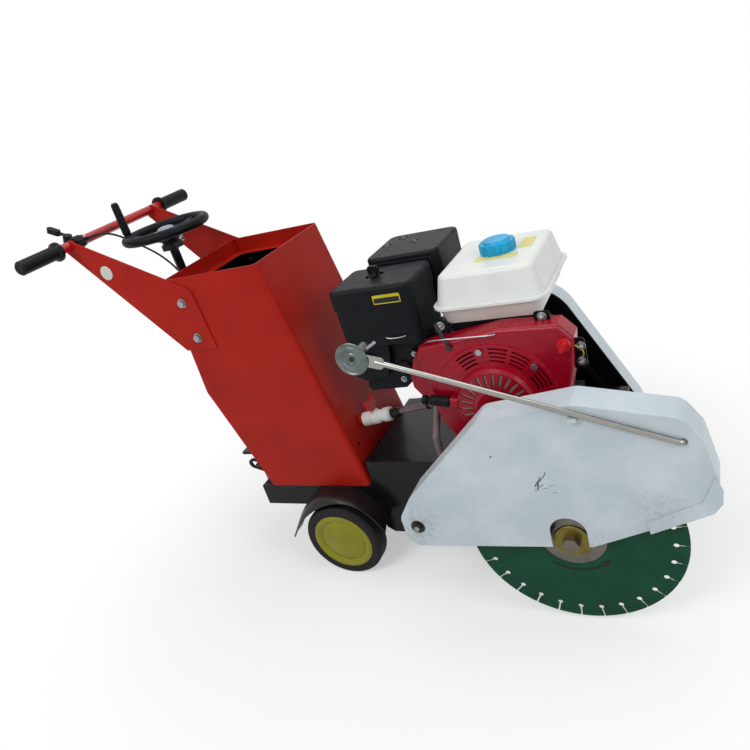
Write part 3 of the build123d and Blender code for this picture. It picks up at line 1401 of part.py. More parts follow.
with BuildPart() as blade_guard:
    add(guard_slab(GUARD_IN, GUARD_IN - GUARD_OUT, 0))
    add(
        guard_slab(GUARD_IN - GUARD_SHEET, GUARD_IN - GUARD_OUT - 2 * GUARD_SHEET, GUARD_SHEET),
        mode=Mode.SUBTRACT,
    )
    # open underside
    with BuildSketch(side_plane(GUARD_IN - GUARD_SHEET)):
        with BuildLine():
            Polyline(
                (75 + GUARD_SHEET, 180),
                (75 + GUARD_SHEET, 196 + 3 * GUARD_SHEET),
                (449, 213 + 3 * GUARD_SHEET),
                (547, 255 + 3 * GUARD_SHEET),
                (663 - GUARD_SHEET, 318 + 3 * GUARD_SHEET),
                (700, 318 + 3 * GUARD_SHEET),
                (700, 180),
                close=True,
            )
        make_face()
    extrude(amount=GUARD_IN - GUARD_OUT - 2 * GUARD_SHEET, mode=Mode.SUBTRACT)
    # the inner side is cut away over the blade, all but a strip round the edge
    inner_cut = offset(guard_face(), amount=-GUARD_STRIP, mode=Mode.PRIVATE)
    add(
        extrude(inner_cut.moved(Location((0, GUARD_IN + 1, 0))), amount=GUARD_SHEET + 2, mode=Mode.PRIVATE),
        mode=Mode.SUBTRACT,
    )
    with BuildSketch(side_plane(GUARD_IN)):
        with Locations(GUARD_PIVOT):
            Circle(GUARD_STUB_R + 12)
    extrude(amount=GUARD_SHEET)
    with BuildSketch(side_plane(GUARD_IN)):
        with Locations((STOP_X, STOP_Z + STOP_W / 2 + SEAT + LUG_H / 2)):
            Rectangle(STOP_W + 14, LUG_H)
    extrude(amount=GUARD_SHEET)
    with BuildSketch(side_plane(GUARD_IN + STOP_LAP)):
        with Locations((STOP_X, STOP_Z + STOP_W / 2 + SEAT + LUG_T / 2)):
            Rectangle(STOP_W + 14, LUG_T)
    extrude(amount=STOP_LAP)
    # peg that the folded guide rod lies on
    with BuildSketch(side_plane(GUARD_OUT)):
        with Locations((PEG_X, PEG_Z)):
            Rectangle(PEG_W, PEG_H)
    extrude(amount=2 * ROD_R)
    # arbor slot, open at the bottom, through both sides
    with BuildSketch(side_plane(GUARD_IN + 1)):
        with Locations((ARBOR_X, ARBOR_Z + 31)):
            Circle(GUARD_SLOT_R)
        with Locations((ARBOR_X, ARBOR_Z - 9)):
            Rectangle(2 * GUARD_SLOT_R, 80)
    extrude(amount=GUARD_IN - GUARD_OUT + 2, mode=Mode.SUBTRACT)
    # pivot hole and the eye of the guide rod
    with BuildSketch(side_plane(GUARD_IN + 1)):
        with Locations(GUARD_PIVOT):
            Circle(GUARD_PIVOT_R + RUN)
    extrude(amount=GUARD_IN - GUARD_OUT + 2, mode=Mode.SUBTRACT)
    with BuildSketch(side_plane(GUARD_OUT + GUARD_SHEET + 1)):
        with Locations(ROD_EYE):
            Circle(ROD_R + RUN)
    extrude(amount=GUARD_SHEET + 2, mode=Mode.SUBTRACT)
save(blade_guard.part, "blade_guard")

with BuildPart() as guard_nose:
    with BuildSketch(side_plane(GUARD_OUT)):
        with BuildLine():
            Polyline(*NOSE_OUTLINE, close=True)
        make_face()
    extrude(amount=2)
save(guard_nose.part, "guard_nose")

with BuildPart() as guard_bolt:
    with BuildSketch(side_plane(GUARD_IN + 14)):
        with Locations(GUARD_PIVOT):
            Circle(GUARD_PIVOT_R)
    extrude(amount=GUARD_IN + 14 - GUARD_OUT + 1)
    with BuildSketch(side_plane(GUARD_OUT - SEAT)):
        with Locations(GUARD_PIVOT):
            Circle(15)
    extrude(amount=1.5)
    with BuildSketch(side_plane(GUARD_OUT - SEAT - 1.5)):
        with Locations(GUARD_PIVOT):
            RegularPolygon(11, 6)
    extrude(amount=5)
save(guard_bolt.part, "guard_pivot_bolt")

# ---------------------------------------------------------------- guide rod and its disc

ROD_Y = GUARD_OUT - ROD_R - SEAT
ROD_BEND_R = ROD_R + 0.2
DISC_AT = (84.0, 638.0)
DISC_T = 2.5
STUB_LENGTH = 52.0
STUB_R = 6.0
EYE_T = 5.0
EYE_W = 22.0
EYE_REACH = DISC_R + 12.0
ROD_START = DISC_AT[0] + DISC_R + 4.0

with BuildPart() as guide_rod:
    with BuildLine() as rod_path:
        FilletPolyline(
            (ROD_START, ROD_Y, rod_height(ROD_START)),
            (ROD_EYE[0], ROD_Y, ROD_EYE[1]),
            (ROD_EYE[0], GUARD_OUT + GUARD_SHEET + 12, ROD_EYE[1]),
            radius=ROD_BEND_R,
        )
    with BuildSketch(Plane(rod_path.wire() @ 0, z_dir=rod_path.wire() % 0)):
        Circle(ROD_R)
    sweep()
    # eye plate round the disc's axle
    with BuildSketch(side_plane(ROD_Y + EYE_T / 2)):
        with Locations((DISC_AT[0] + EYE_REACH / 2, (DISC_AT[1] + rod_height(ROD_START + 8)) / 2)):
            SlotOverall(EYE_REACH + EYE_W, EYE_W, rotation=-17)
    extrude(amount=EYE_T)
    with BuildSketch(side_plane(ROD_Y + 2 * ROD_R)):
        with Locations(DISC_AT):
            Circle(STUB_R + RUN)
    extrude(amount=4 * ROD_R, mode=Mode.SUBTRACT)
save(guide_rod.part, "guide_rod")

with BuildPart() as guide_disc:
    disc_y = ROD_Y - EYE_T / 2 - SEAT
    with BuildSketch(side_plane(disc_y)):
        with Locations(DISC_AT):
            Circle(DISC_R)
    extrude(amount=DISC_T)
    with BuildSketch(side_plane(ROD_Y + STUB_LENGTH)):
        with Locations(DISC_AT):
            Circle(STUB_R)
    extrude(amount=ROD_Y + STUB_LENGTH - disc_y)
    # collar behind the eye plate
    with BuildSketch(side_plane(ROD_Y + STUB_LENGTH)):
        with Locations(DISC_AT):
            Circle(STUB_R + 3)
    extrude(amount=STUB_LENGTH - EYE_T / 2 - SEAT - ROD_R)
    chamfer(guide_disc.edges().filter_by(GeomType.CIRCLE).group_by(Axis.Y)[-1], 1)
save(guide_disc.part, "guide_disc")

# ---------------------------------------------------------------- wheels

HUB_DISH = 7.0

for name, side in (("right", -1), ("left", 1)):
    inner_y = side * (REAR_WHEEL_Y - REAR_TYRE_W / 2)
    outer_y = side * (REAR_WHEEL_Y + REAR_TYRE_W / 2)
    middle = side * REAR_WHEEL_Y
    x, z = REAR_AXLE_X, REAR_WHEEL_R
    with BuildPart() as tyre:
        with BuildSketch(Plane.XY.offset(z)):
            with BuildLine():
                Polyline((x + REAR_RIM_R, inner_y), (x + REAR_RIM_R, outer_y))
                Line((x + REAR_RIM_R, outer_y), (x + REAR_WHEEL_R - 12, outer_y))
                ThreePointArc(
                    (x + REAR_WHEEL_R - 12, outer_y),
                    (x + REAR_WHEEL_R - 3.2, outer_y - side * 2.6),
                    (x + REAR_WHEEL_R, outer_y - side * 9),
                )
                Line((x + REAR_WHEEL_R, outer_y - side * 9), (x + REAR_WHEEL_R, inner_y + side * 9))
                ThreePointArc(
                    (x + REAR_WHEEL_R, inner_y + side * 9),
                    (x + REAR_WHEEL_R - 3.2, inner_y + side * 2.6),
                    (x + REAR_WHEEL_R - 12, inner_y),
                )
                Line((x + REAR_WHEEL_R - 12, inner_y), (x + REAR_RIM_R, inner_y))
            make_face()
            for groove in (-8, 0, 8):
                with Locations((x + REAR_WHEEL_R, middle + groove)):
                    Rectangle(3, 2.4, mode=Mode.SUBTRACT)
        revolve(axis=Axis((x, 0, z), (0, 1, 0)))
    save(tyre.part, f"rear_tyre_{name}")

    with BuildPart() as hub:
        with BuildSketch(Plane.XY.offset(z)):
            with BuildLine():
                Polyline(
                    (x, outer_y - side * HUB_DISH),
                    (x + REAR_RIM_R - 22, outer_y - side * HUB_DISH),
                    (x + REAR_RIM_R - 15, outer_y - side * 2),
                    (x + REAR_RIM_R - 8, outer_y + side * 1),
                    (x + REAR_RIM_R, outer_y - side * 1),
                    (x + REAR_RIM_R, inner_y + side * 2),
                    (x + REAR_RIM_R - 12, inner_y + side * 2),
                    (x + REAR_RIM_R - 22, outer_y - side * (HUB_DISH + 4)),
                    (x + 24, outer_y - side * (HUB_DISH + 4)),
                    (x + 24, inner_y + side * 2),
                    (x, inner_y + side * 2),
                    close=True,
                )
            make_face()
        revolve(axis=Axis((x, 0, z), (0, 1, 0)))
        with BuildSketch(side_plane(inner_y)):
            with Locations((x, z)):
                Circle(AXLE_R + RUN)
        extrude(amount=-side * (REAR_TYRE_W + 4), mode=Mode.SUBTRACT)
    save(hub.part, f"rear_hub_{name}")

FRONT_AXLE_R = 8.0
ARM_Y = 62.0            # arm plates
ARM_T = 8.0
FRONT_AXLE_Z = FRONT_WHEEL_R
CLEVIS_Y = 8.0

for name, side in (("right", -1), ("left", 1)):
    inner_y = side * (FRONT_WHEEL_Y - FRONT_WHEEL_W / 2)
    outer_y = side * (FRONT_WHEEL_Y + FRONT_WHEEL_W / 2)
    x, z = FRONT_AXLE_X, FRONT_AXLE_Z
    with BuildPart() as wheel:
        with BuildSketch(Plane.XY.offset(z)):
            with BuildLine():
                Polyline(
                    (x + FRONT_AXLE_R + RUN, inner_y - side * 2),
                    (x + 20, inner_y - side * 2),
                    (x + 20, inner_y + side * 9),
                    (x + 38, inner_y + side * 9),
                    (x + 42, inner_y),
                    (x + FRONT_WHEEL_R - 5, inner_y),
                    (x + FRONT_WHEEL_R, inner_y + side * 5),
                    (x + FRONT_WHEEL_R, outer_y - side * 5),
                    (x + FRONT_WHEEL_R - 5, outer_y),
                    (x + 42, outer_y),
                    (x + 38, outer_y - side * 9),
                    (x + 20, outer_y - side * 9),
                    (x + 20, outer_y + side * 2),
                    (x + FRONT_AXLE_R + RUN, outer_y + side * 2),
                    close=True,
                )
            make_face()
        revolve(axis=Axis((x, 0, z), (0, 1, 0)))
    save(wheel.part, f"front_wheel_{name}")

with BuildPart() as arm:
    # cross shaft in the side plates
    with BuildSketch(side_plane(FRAME_HALF + 4)):
        with Locations((ARM_PIVOT_X, ARM_PIVOT_Z)):
            Circle(PIVOT_R)
    extrude(amount=2 * FRAME_HALF + 8)
    with BuildSketch(side_plane(ARM_Y + ARM_T)):
        with Locations((ARM_PIVOT_X, ARM_PIVOT_Z)):
            Circle(17)
    extrude(amount=2 * (ARM_Y + ARM_T))
    # two arm plates down to the axle
    for y in (ARM_Y + ARM_T, -ARM_Y):
        with BuildSketch(side_plane(y)):
            with Locations((ARM_PIVOT_X, ARM_PIVOT_Z)):
                Circle(22)
            with Locations((FRONT_AXLE_X, FRONT_AXLE_Z)):
                Circle(18)
            with BuildLine():
                across = math.atan2(FRONT_AXLE_X - ARM_PIVOT_X, ARM_PIVOT_Z - FRONT_AXLE_Z)
                ca, sa = math.cos(across), math.sin(across)
                Polyline(
                    (ARM_PIVOT_X + 22 * ca, ARM_PIVOT_Z + 22 * sa),
                    (FRONT_AXLE_X + 18 * ca, FRONT_AXLE_Z + 18 * sa),
                    (FRONT_AXLE_X - 18 * ca, FRONT_AXLE_Z - 18 * sa),
                    (ARM_PIVOT_X - 22 * ca, ARM_PIVOT_Z - 22 * sa),
                    close=True,
                )
            make_face()
        extrude(amount=ARM_T)
    # axle through both wheels
    with BuildSketch(side_plane(FRONT_WHEEL_Y + FRONT_WHEEL_W / 2 + 8)):
        with Locations((FRONT_AXLE_X, FRONT_AXLE_Z)):
            Circle(FRONT_AXLE_R)
    extrude(amount=2 * FRONT_WHEEL_Y + FRONT_WHEEL_W + 16)
    # upright lever with the pin for the push rod
    with BuildSketch(side_plane(-CLEVIS_Y)):
        with Locations((ARM_PIVOT_X, ARM_PIVOT_Z + ARM_UP / 2)):
            SlotOverall(ARM_UP + 26, 26, rotation=90)
    extrude(amount=ARM_T)
    with BuildSketch(side_plane(CLEVIS_Y)):
        with Locations((ARM_PIVOT_X, ARM_PIVOT_Z + ARM_UP)):
            Circle(6)
    extrude(amount=2 * CLEVIS_Y)
save(arm.part, "front_swing_arm")

# bell crank under the tray: forked rear lever, upright lever, cross shaft
TRUNNION_R = 6.0
FORK_SLOT = 2 * TRUNNION_R + 7.0        # slot round the nut's trunnions
LINK_PIN_R = 6.0
LINK_Z = CRANK_PIVOT_Z + CRANK_UP
FORK_REACH = CRANK_PIVOT_X - COLUMN_X
FORK_LEAN = math.atan2(NUT_Z - CRANK_PIVOT_Z, FORK_REACH)
FORK_LENGTH = math.hypot(NUT_Z - CRANK_PIVOT_Z, FORK_REACH)
FORK_H = 30.0

with BuildPart() as bell_crank:
    with BuildSketch(side_plane(CRANK_EAR_Y + EAR + 4)):
        with Locations((CRANK_PIVOT_X, CRANK_PIVOT_Z)):
            Circle(PIVOT_R)
    extrude(amount=2 * (CRANK_EAR_Y + EAR + 4))
    with BuildSketch(side_plane(CRANK_EAR_Y - SEAT)):
        with Locations((CRANK_PIVOT_X, CRANK_PIVOT_Z)):
            Circle(16)
    extrude(amount=2 * (CRANK_EAR_Y - SEAT))
    for y in (FORK_Y + FORK_T, -FORK_Y):
        with BuildSketch(side_plane(y)):
            with Locations(((CRANK_PIVOT_X + COLUMN_X) / 2, (CRANK_PIVOT_Z + NUT_Z) / 2)):
                SlotOverall(FORK_LENGTH + 56, FORK_H, rotation=-math.degrees(FORK_LEAN))
            with Locations((COLUMN_X, NUT_Z)):
                SlotOverall(38, FORK_SLOT, rotation=-math.degrees(FORK_LEAN), mode=Mode.SUBTRACT)
        extrude(amount=FORK_T)
    with BuildSketch(side_plane(-CLEVIS_Y)):
        with Locations((CRANK_PIVOT_X, CRANK_PIVOT_Z + CRANK_UP / 2)):
            SlotOverall(CRANK_UP + 26, 26, rotation=90)
    extrude(amount=ARM_T)
    with BuildSketch(side_plane(CLEVIS_Y + 3)):
        with Locations((CRANK_PIVOT_X, LINK_Z)):
            Circle(LINK_PIN_R)
    extrude(amount=2 * CLEVIS_Y + 3)
save(bell_crank.part, "bell_crank")

# push rod from the bell crank to the swing arm; its front eye has room for the arc of the arm
LINK_EYE_R = 13.0
LINK_PLAY = 2.5
LINK_W = 12.0
LINK_H = 14.0
LINK_FRONT = (ARM_PIVOT_X, ARM_PIVOT_Z + ARM_UP)
LINK_SPAN = math.hypot(LINK_FRONT[0] - CRANK_PIVOT_X, LINK_FRONT[1] - LINK_Z)
LINK_LEAN = math.degrees(math.atan2(LINK_FRONT[1] - LINK_Z, LINK_FRONT[0] - CRANK_PIVOT_X))

with BuildPart() as push_rod:
    with BuildSketch(side_plane(LINK_W / 2)):
        with Locations(((CRANK_PIVOT_X + LINK_FRONT[0]) / 2, (LINK_Z + LINK_FRONT[1]) / 2)):
            Rectangle(LINK_SPAN, LINK_H, rotation=LINK_LEAN)
        with Locations((CRANK_PIVOT_X, LINK_Z)):
            Circle(LINK_EYE_R)
        with Locations(LINK_FRONT):
            Circle(LINK_EYE_R + LINK_PLAY)
        with Locations((CRANK_PIVOT_X, LINK_Z)):
            Circle(LINK_PIN_R + RUN, mode=Mode.SUBTRACT)
        with Locations(LINK_FRONT):
            Circle(LINK_PIN_R + LINK_PLAY, mode=Mode.SUBTRACT)
    extrude(amount=LINK_W)
save(push_rod.part, "push_rod")

with BuildPart() as lift_nut:
    with BuildSketch(Plane.XY.offset(NUT_Z - NUT_R)):
        with Locations((COLUMN_X, 0)):
            Circle(NUT_R)
    extrude(amount=2 * NUT_R)
    with BuildSketch(side_plane(FORK_Y + FORK_T + 2)):
        with Locations((COLUMN_X, NUT_Z)):
            Circle(TRUNNION_R)
    extrude(amount=2 * (FORK_Y + FORK_T + 2))
    with BuildSketch(Plane.XY.offset(NUT_Z - NUT_R)):
        with Locations((COLUMN_X, 0)):
            Circle(SCREW_R + RUN)
    extrude(amount=2 * NUT_R, mode=Mode.SUBTRACT)
save(lift_nut.part, "lift_nut")

# ---------------------------------------------------------------- hand wheel

BLOCK_TOP = COLUMN_TOP + 14.0           # top of the block under the hand wheel
HUB_BOTTOM = BLOCK_TOP + GAP
HUB_TOP = 874.0
HUB_OUT_R = 21.0
CAP_DOME = 6.0
SPOKES = 3
SPOKE_W = 20.0
SPOKE_T = 8.0
STUD_R = 4.0
KNOB_ANGLE = -160.0
KNOB_AT = (
    COLUMN_X + HANDWHEEL_R * math.cos(math.radians(KNOB_ANGLE)),
    HANDWHEEL_R * math.sin(math.radians(KNOB_ANGLE)),
)
KNOB_START = HANDWHEEL_Z + HANDWHEEL_RIM_R + SEAT
STUD_TOP = KNOB_START + KNOB_LENGTH - 10.0

with BuildPart() as handwheel:
    with BuildSketch(Plane.XZ):
        with Locations((COLUMN_X + HANDWHEEL_R, HANDWHEEL_Z)):
            Circle(HANDWHEEL_RIM_R)
    revolve(axis=Axis((COLUMN_X, 0, 0), (0, 0, -1)))
    with BuildSketch(Plane.XY.offset(HUB_BOTTOM)):
        with Locations((COLUMN_X, 0)):
            Circle(HUB_OUT_R)
    extrude(amount=HUB_TOP - HUB_BOTTOM)
    for k in range(SPOKES):
        turn = math.radians(KNOB_ANGLE + 360 / SPOKES * k)
        spoke_plane = Plane(
            origin=(COLUMN_X, 0, 0),
            x_dir=(math.cos(turn), math.sin(turn), 0),
            z_dir=(math.sin(turn), -math.cos(turn), 0),
        )
        with BuildSketch(spoke_plane.offset(-SPOKE_W / 2)):
            with BuildLine():
                Polyline(
                    (HUB_OUT_R - 4, HUB_BOTTOM + 6),
                    (HUB_OUT_R - 4, HUB_BOTTOM + 6 + SPOKE_T + 4),
                    (HANDWHEEL_R - 6, HANDWHEEL_Z + SPOKE_T / 2),
                    (HANDWHEEL_R - 6, HANDWHEEL_Z - SPOKE_T / 2 - 1),
                    close=True,
                )
            make_face()
        extrude(amount=SPOKE_W)
    # seat and stud for the crank knob
    with BuildSketch(Plane.XY.offset(HANDWHEEL_Z)):
        with Locations(KNOB_AT):
            Circle(KNOB_R - 1)
    extrude(amount=KNOB_START - SEAT - HANDWHEEL_Z)
    with BuildSketch(Plane.XY.offset(HANDWHEEL_Z)):
        with Locations(KNOB_AT):
            Circle(STUD_R)
    extrude(amount=STUD_TOP - HANDWHEEL_Z)
    # bore on the lead screw
    with BuildSketch(Plane.XY.offset(HUB_BOTTOM)):
        with Locations((COLUMN_X, 0)):
            Circle(SCREW_R)
    extrude(amount=HUB_TOP - HUB_BOTTOM, mode=Mode.SUBTRACT)
save(handwheel.part, "handwheel")

with BuildPart() as screw:
    with BuildSketch(Plane.XY.offset(SCREW_END)):
        with Locations((COLUMN_X, 0)):
            Circle(SCREW_R)
    extrude(amount=HUB_TOP - SCREW_END)
    with BuildSketch(Plane.XY.offset(HUB_TOP)):
        with Locations((COLUMN_X, 0)):
            Circle(HUB_OUT_R - 3)
    extrude(amount=CAP_DOME, taper=30)
    chamfer(screw.faces().sort_by(Axis.Z)[0].edges(), 1.5)
save(screw.part, "lead_screw")

with BuildPart() as knob:
    with BuildSketch(Plane.XZ.offset(-KNOB_AT[1])):
        with BuildLine():
            base = KNOB_START
            top = KNOB_START + KNOB_LENGTH
            Polyline(
                (KNOB_AT[0] + STUD_R + RUN, base),
                (KNOB_AT[0] + KNOB_R - 1.5, base),
                (KNOB_AT[0] + KNOB_R, base + 4),
                (KNOB_AT[0] + KNOB_R - 1, top - 5),
                (KNOB_AT[0] + KNOB_R - 4, top),
                (KNOB_AT[0], top),
                (KNOB_AT[0], top - 9),
                (KNOB_AT[0] + STUD_R + RUN, top - 9),
                close=True,
            )
        make_face()
    revolve(axis=Axis((KNOB_AT[0], KNOB_AT[1], 0), (0, 0, 1)))
save(knob.part, "handwheel_knob")

# ---------------------------------------------------------------- throttle lever and cable

THROTTLE_Y = -TANK_HALF + 22.0
THROTTLE_TILT = 24.7    # the lever rises this much toward the operator
CLAMP_R = 16.0
CLAMP_W = 24.0
BOSS_AT = 24.0          # lever pivot, behind the bar
BOSS_R = 11.0
BOSS_LOW = -10.0
BOSS_TOP = 9.0
LEVER_T = 4.0
LEVER_END = 82.0
PIN_R = CONTROL_BORE


def lever_plane(height):
    """Plane of the throttle lever, this far above the bar's middle; x runs to the operator."""
    tilt = math.radians(THROTTLE_TILT)
    up = (math.sin(tilt), 0, math.cos(tilt))
    origin = (BAR_X + height * up[0], THROTTLE_Y, BAR_Z + height * up[2])
    return Plane(origin=origin, x_dir=(-math.cos(tilt), 0, math.sin(tilt)), z_dir=up)


with BuildPart() as clamp:
    with BuildSketch(side_plane(THROTTLE_Y + CLAMP_W / 2)):
        with Locations((BAR_X, BAR_Z)):
            Circle(CLAMP_R)
    extrude(amount=CLAMP_W)
    with BuildSketch(lever_plane(BOSS_LOW)):
        with Locations((BOSS_AT, 0)):
            Circle(BOSS_R)
        with Locations((BOSS_AT / 2, 0)):
            Rectangle(BOSS_AT, 2 * BOSS_R - 4)
    extrude(amount=BOSS_TOP - BOSS_LOW)
    # cable stop on the inner side
    with BuildSketch(side_plane(CABLE_ROUTE[0][1])):
        with Locations((CABLE_ROUTE[0][0], CABLE_ROUTE[0][2])):
            Circle(5)
    extrude(amount=CABLE_ROUTE[0][1] - THROTTLE_Y + CLAMP_W / 2)
    with BuildSketch(side_plane(THROTTLE_Y + CLAMP_W)):
        with Locations((BAR_X, BAR_Z)):
            Circle(BAR_R)
    extrude(amount=2 * CLAMP_W, mode=Mode.SUBTRACT)
    with BuildSketch(lever_plane(BOSS_TOP)):
        with Locations((BOSS_AT, 0)):
            Circle(PIN_R + RUN)
    extrude(amount=-12, mode=Mode.SUBTRACT)
save(clamp.part, "lever_clamp")

with BuildPart() as lever:
    with BuildSketch(lever_plane(BOSS_TOP + SEAT)):
        with Locations((BOSS_AT, 0)):
            Circle(BOSS_R - 1)
        with Locations(((BOSS_AT + LEVER_END - 30) / 2 + 4, 0)):
            Rectangle(LEVER_END - 30 - BOSS_AT + 12, 8)
    extrude(amount=LEVER_T)
    with BuildSketch(lever_plane(BOSS_TOP + SEAT - 4)):
        with Locations((LEVER_END - 18, 0)):
            SlotOverall(36, 14)
    extrude(amount=12)
    with BuildSketch(lever_plane(BOSS_TOP + SEAT)):
        with Locations((BOSS_AT, 0)):
            Circle(PIN_R)
    extrude(amount=-10)
save(lever.part, "throttle_lever")

with BuildPart() as cable:
    with BuildLine() as cable_path:
        FilletPolyline(*CABLE_ROUTE, radius=route_radii(CABLE_ROUTE))
    with BuildSketch(Plane(cable_path.wire() @ 0, z_dir=cable_path.wire() % 0)):
        Circle(CABLE_R)
    sweep()
save(cable.part, "throttle_cable")

# ---------------------------------------------------------------- water valve, hose and spray pipe

VALVE_COLLAR_R = 17.0
VALVE_BODY_R = 19.0
VALVE_START = OUTLET_LENGTH
VALVE_END = 86.0
STEM_AT = 42.0          # stem, along the line from the tank's wall
STEM_R = 5.0
PADDLE_LOW = VALVE_BODY_R + 2.0
PADDLE_HIGH = PADDLE_LOW + 30.0
PADDLE_HALF = 20.0
PADDLE_T = 7.0

with BuildPart() as valve:
    profile = (
        (VALVE_START, VALVE_COLLAR_R),
        (VALVE_START + 20, VALVE_COLLAR_R),
        (VALVE_START + 22, VALVE_COLLAR_R - 3),
        (STEM_AT - 7, VALVE_BODY_R - 2),
        (STEM_AT + 9, VALVE_BODY_R - 2),
        (STEM_AT + 14, VALVE_COLLAR_R - 3),
        (VALVE_END - 22, VALVE_COLLAR_R - 3),
        (VALVE_END - 20, VALVE_COLLAR_R),
        (VALVE_END - 4, VALVE_COLLAR_R),
        (VALVE_END, VALVE_COLLAR_R - 4),
    )
    water = outlet_plane(0)
    section = Plane(origin=water.origin, x_dir=water.z_dir, z_dir=water.y_dir)
    with BuildSketch(section):
        with BuildLine():
            Polyline((VALVE_START, 0), *profile, (VALVE_END, 0), close=True)
        make_face()
    revolve(axis=Axis(water.origin, water.z_dir))
    # stem tower
    stem_base = Plane(origin=outlet_plane(STEM_AT).origin, x_dir=(0, 1, 0), z_dir=-water.y_dir)
    if stem_base.z_dir.Z < 0:
        stem_base = Plane(origin=stem_base.origin, x_dir=(0, 1, 0), z_dir=-stem_base.z_dir)
    with BuildSketch(stem_base):
        Circle(STEM_R + 5)
    extrude(amount=VALVE_BODY_R)
    with BuildSketch(stem_base):
        Circle(STEM_R + RUN)
    extrude(amount=VALVE_BODY_R + 4, mode=Mode.SUBTRACT)
    with BuildSketch(outlet_plane(VALVE_START)):
        Circle(OUTLET_BORE)
    extrude(amount=STEM_AT - VALVE_START - STEM_R - 4, mode=Mode.SUBTRACT)
save(valve.part, "valve_body")

with BuildPart() as valve_handle:
    with BuildSketch(stem_base.offset(6)):
        Circle(STEM_R)
    extrude(amount=PADDLE_LOW - 6)
    paddle = Plane(origin=stem_base.origin, x_dir=(0, 1, 0), z_dir=water.z_dir)
    up = 1 if paddle.y_dir.Z > 0 else -1
    with BuildSketch(paddle.offset(-PADDLE_T / 2)):
        with BuildLine():
            Polyline(
                (-8, up * PADDLE_LOW),
                (-PADDLE_HALF, up * (PADDLE_LOW + 6)),
                (-PADDLE_HALF + 2, up * PADDLE_HIGH),
                (-8, up * (PADDLE_HIGH - 8)),
                (8, up * (PADDLE_HIGH - 8)),
                (PADDLE_HALF - 2, up * PADDLE_HIGH),
                (PADDLE_HALF, up * (PADDLE_LOW + 6)),
                (8, up * PADDLE_LOW),
                close=True,
            )
        make_face()
    extrude(amount=PADDLE_T)
save(valve_handle.part, "valve_handle")

PIPE_Y = -FRAME_HALF - PIPE_R - SEAT
PIPE_X = 127.0
PIPE_TOP = (PIPE_X, -107.0, 424.0)
PIPE_BEND_R = 18.0
PIPE_LOW = BED_TOP - 8.0
NOZZLE_X = 300.0
SLEEVE_R = 12.0
SLEEVE_LENGTH = 26.0
HOSE_RUN = 55.0

hose_start = outlet_plane(VALVE_END).origin
hose_turn = outlet_plane(VALVE_END + HOSE_RUN).origin
hose_way = (Vector(*PIPE_TOP) - hose_turn).normalized()
hose_end = Vector(*PIPE_TOP) - hose_way * 22

with BuildPart() as hose:
    hose_route = (tuple(hose_start), tuple(hose_turn), tuple(hose_end))
    with BuildLine() as hose_path:
        FilletPolyline(*hose_route, radius=route_radii(hose_route))
    with BuildSketch(outlet_plane(VALVE_END)):
        Circle(HOSE_R)
    sweep()
    with BuildSketch(outlet_plane(VALVE_END)):
        Circle(SLEEVE_R)
    extrude(amount=SLEEVE_LENGTH)
save(hose.part, "water_hose")

with BuildPart() as pipe:
    with BuildLine() as pipe_path:
        FilletPolyline(
            PIPE_TOP,
            (PIPE_X, PIPE_Y, PIPE_TOP[2] - 56),
            (PIPE_X, PIPE_Y, PIPE_LOW),
            (NOZZLE_X, PIPE_Y, PIPE_LOW),
            (NOZZLE_X, GUARD_IN + 8, PIPE_LOW),
            radius=PIPE_BEND_R,
        )
    with BuildSketch(Plane(pipe_path.wire() @ 0, z_dir=pipe_path.wire() % 0)):
        Circle(PIPE_R)
    sweep()
    # tee at the top, with the spigot for the hose
    with BuildSketch(Plane(origin=hose_end, z_dir=hose_way)):
        Circle(PIPE_R)
    extrude(amount=22 + PIPE_R)
save(pipe.part, "spray_pipe")

# ---------------------------------------------------------------- engine controls

ROPE_WAY = (math.cos(math.radians(ROPE_ANGLE)), math.sin(math.radians(ROPE_ANGLE)))
OUTLET_FACE = polar(COVER_R + 10, ROPE_ANGLE)

with BuildPart() as recoil_grip:
    start = (OUTLET_FACE[0] + SEAT * ROPE_WAY[0], OUTLET_FACE[1] + SEAT * ROPE_WAY[1])
    grip_plane = Plane(
        origin=(start[0], ROPE_Y, start[1]),
        x_dir=(ROPE_WAY[0], 0, ROPE_WAY[1]),
        z_dir=(-ROPE_WAY[1], 0, ROPE_WAY[0]),
    )
    with BuildSketch(grip_plane):
        with BuildLine():
            Polyline(
                (0, 0),
                (0, 8),
                (4, 11),
                (42, 11),
                (45, 6),
                (50, 6),
                (51, 10),
                (59, 10),
                (61, 8),
                (61, 0),
                close=True,
            )
        make_face()
    revolve(axis=Axis(grip_plane.origin, grip_plane.x_dir))
save(recoil_grip.part, "recoil_grip")

with BuildPart() as switch:
    with BuildSketch(side_plane(HOUSING_FACE - SEAT)):
        with Locations(SWITCH_AT):
            Circle(13)
    extrude(amount=8, taper=6)
    with BuildSketch(side_plane(HOUSING_FACE - SEAT - 7)):
        with Locations(SWITCH_AT):
            SlotOverall(22, 8, rotation=60)
    extrude(amount=10)
    with BuildSketch(side_plane(HOUSING_FACE - SEAT)):
        with Locations(SWITCH_AT):
            Circle(PIN_R)
    extrude(amount=-ENGINE_SHEET - 6)
save(switch.part, "engine_switch")

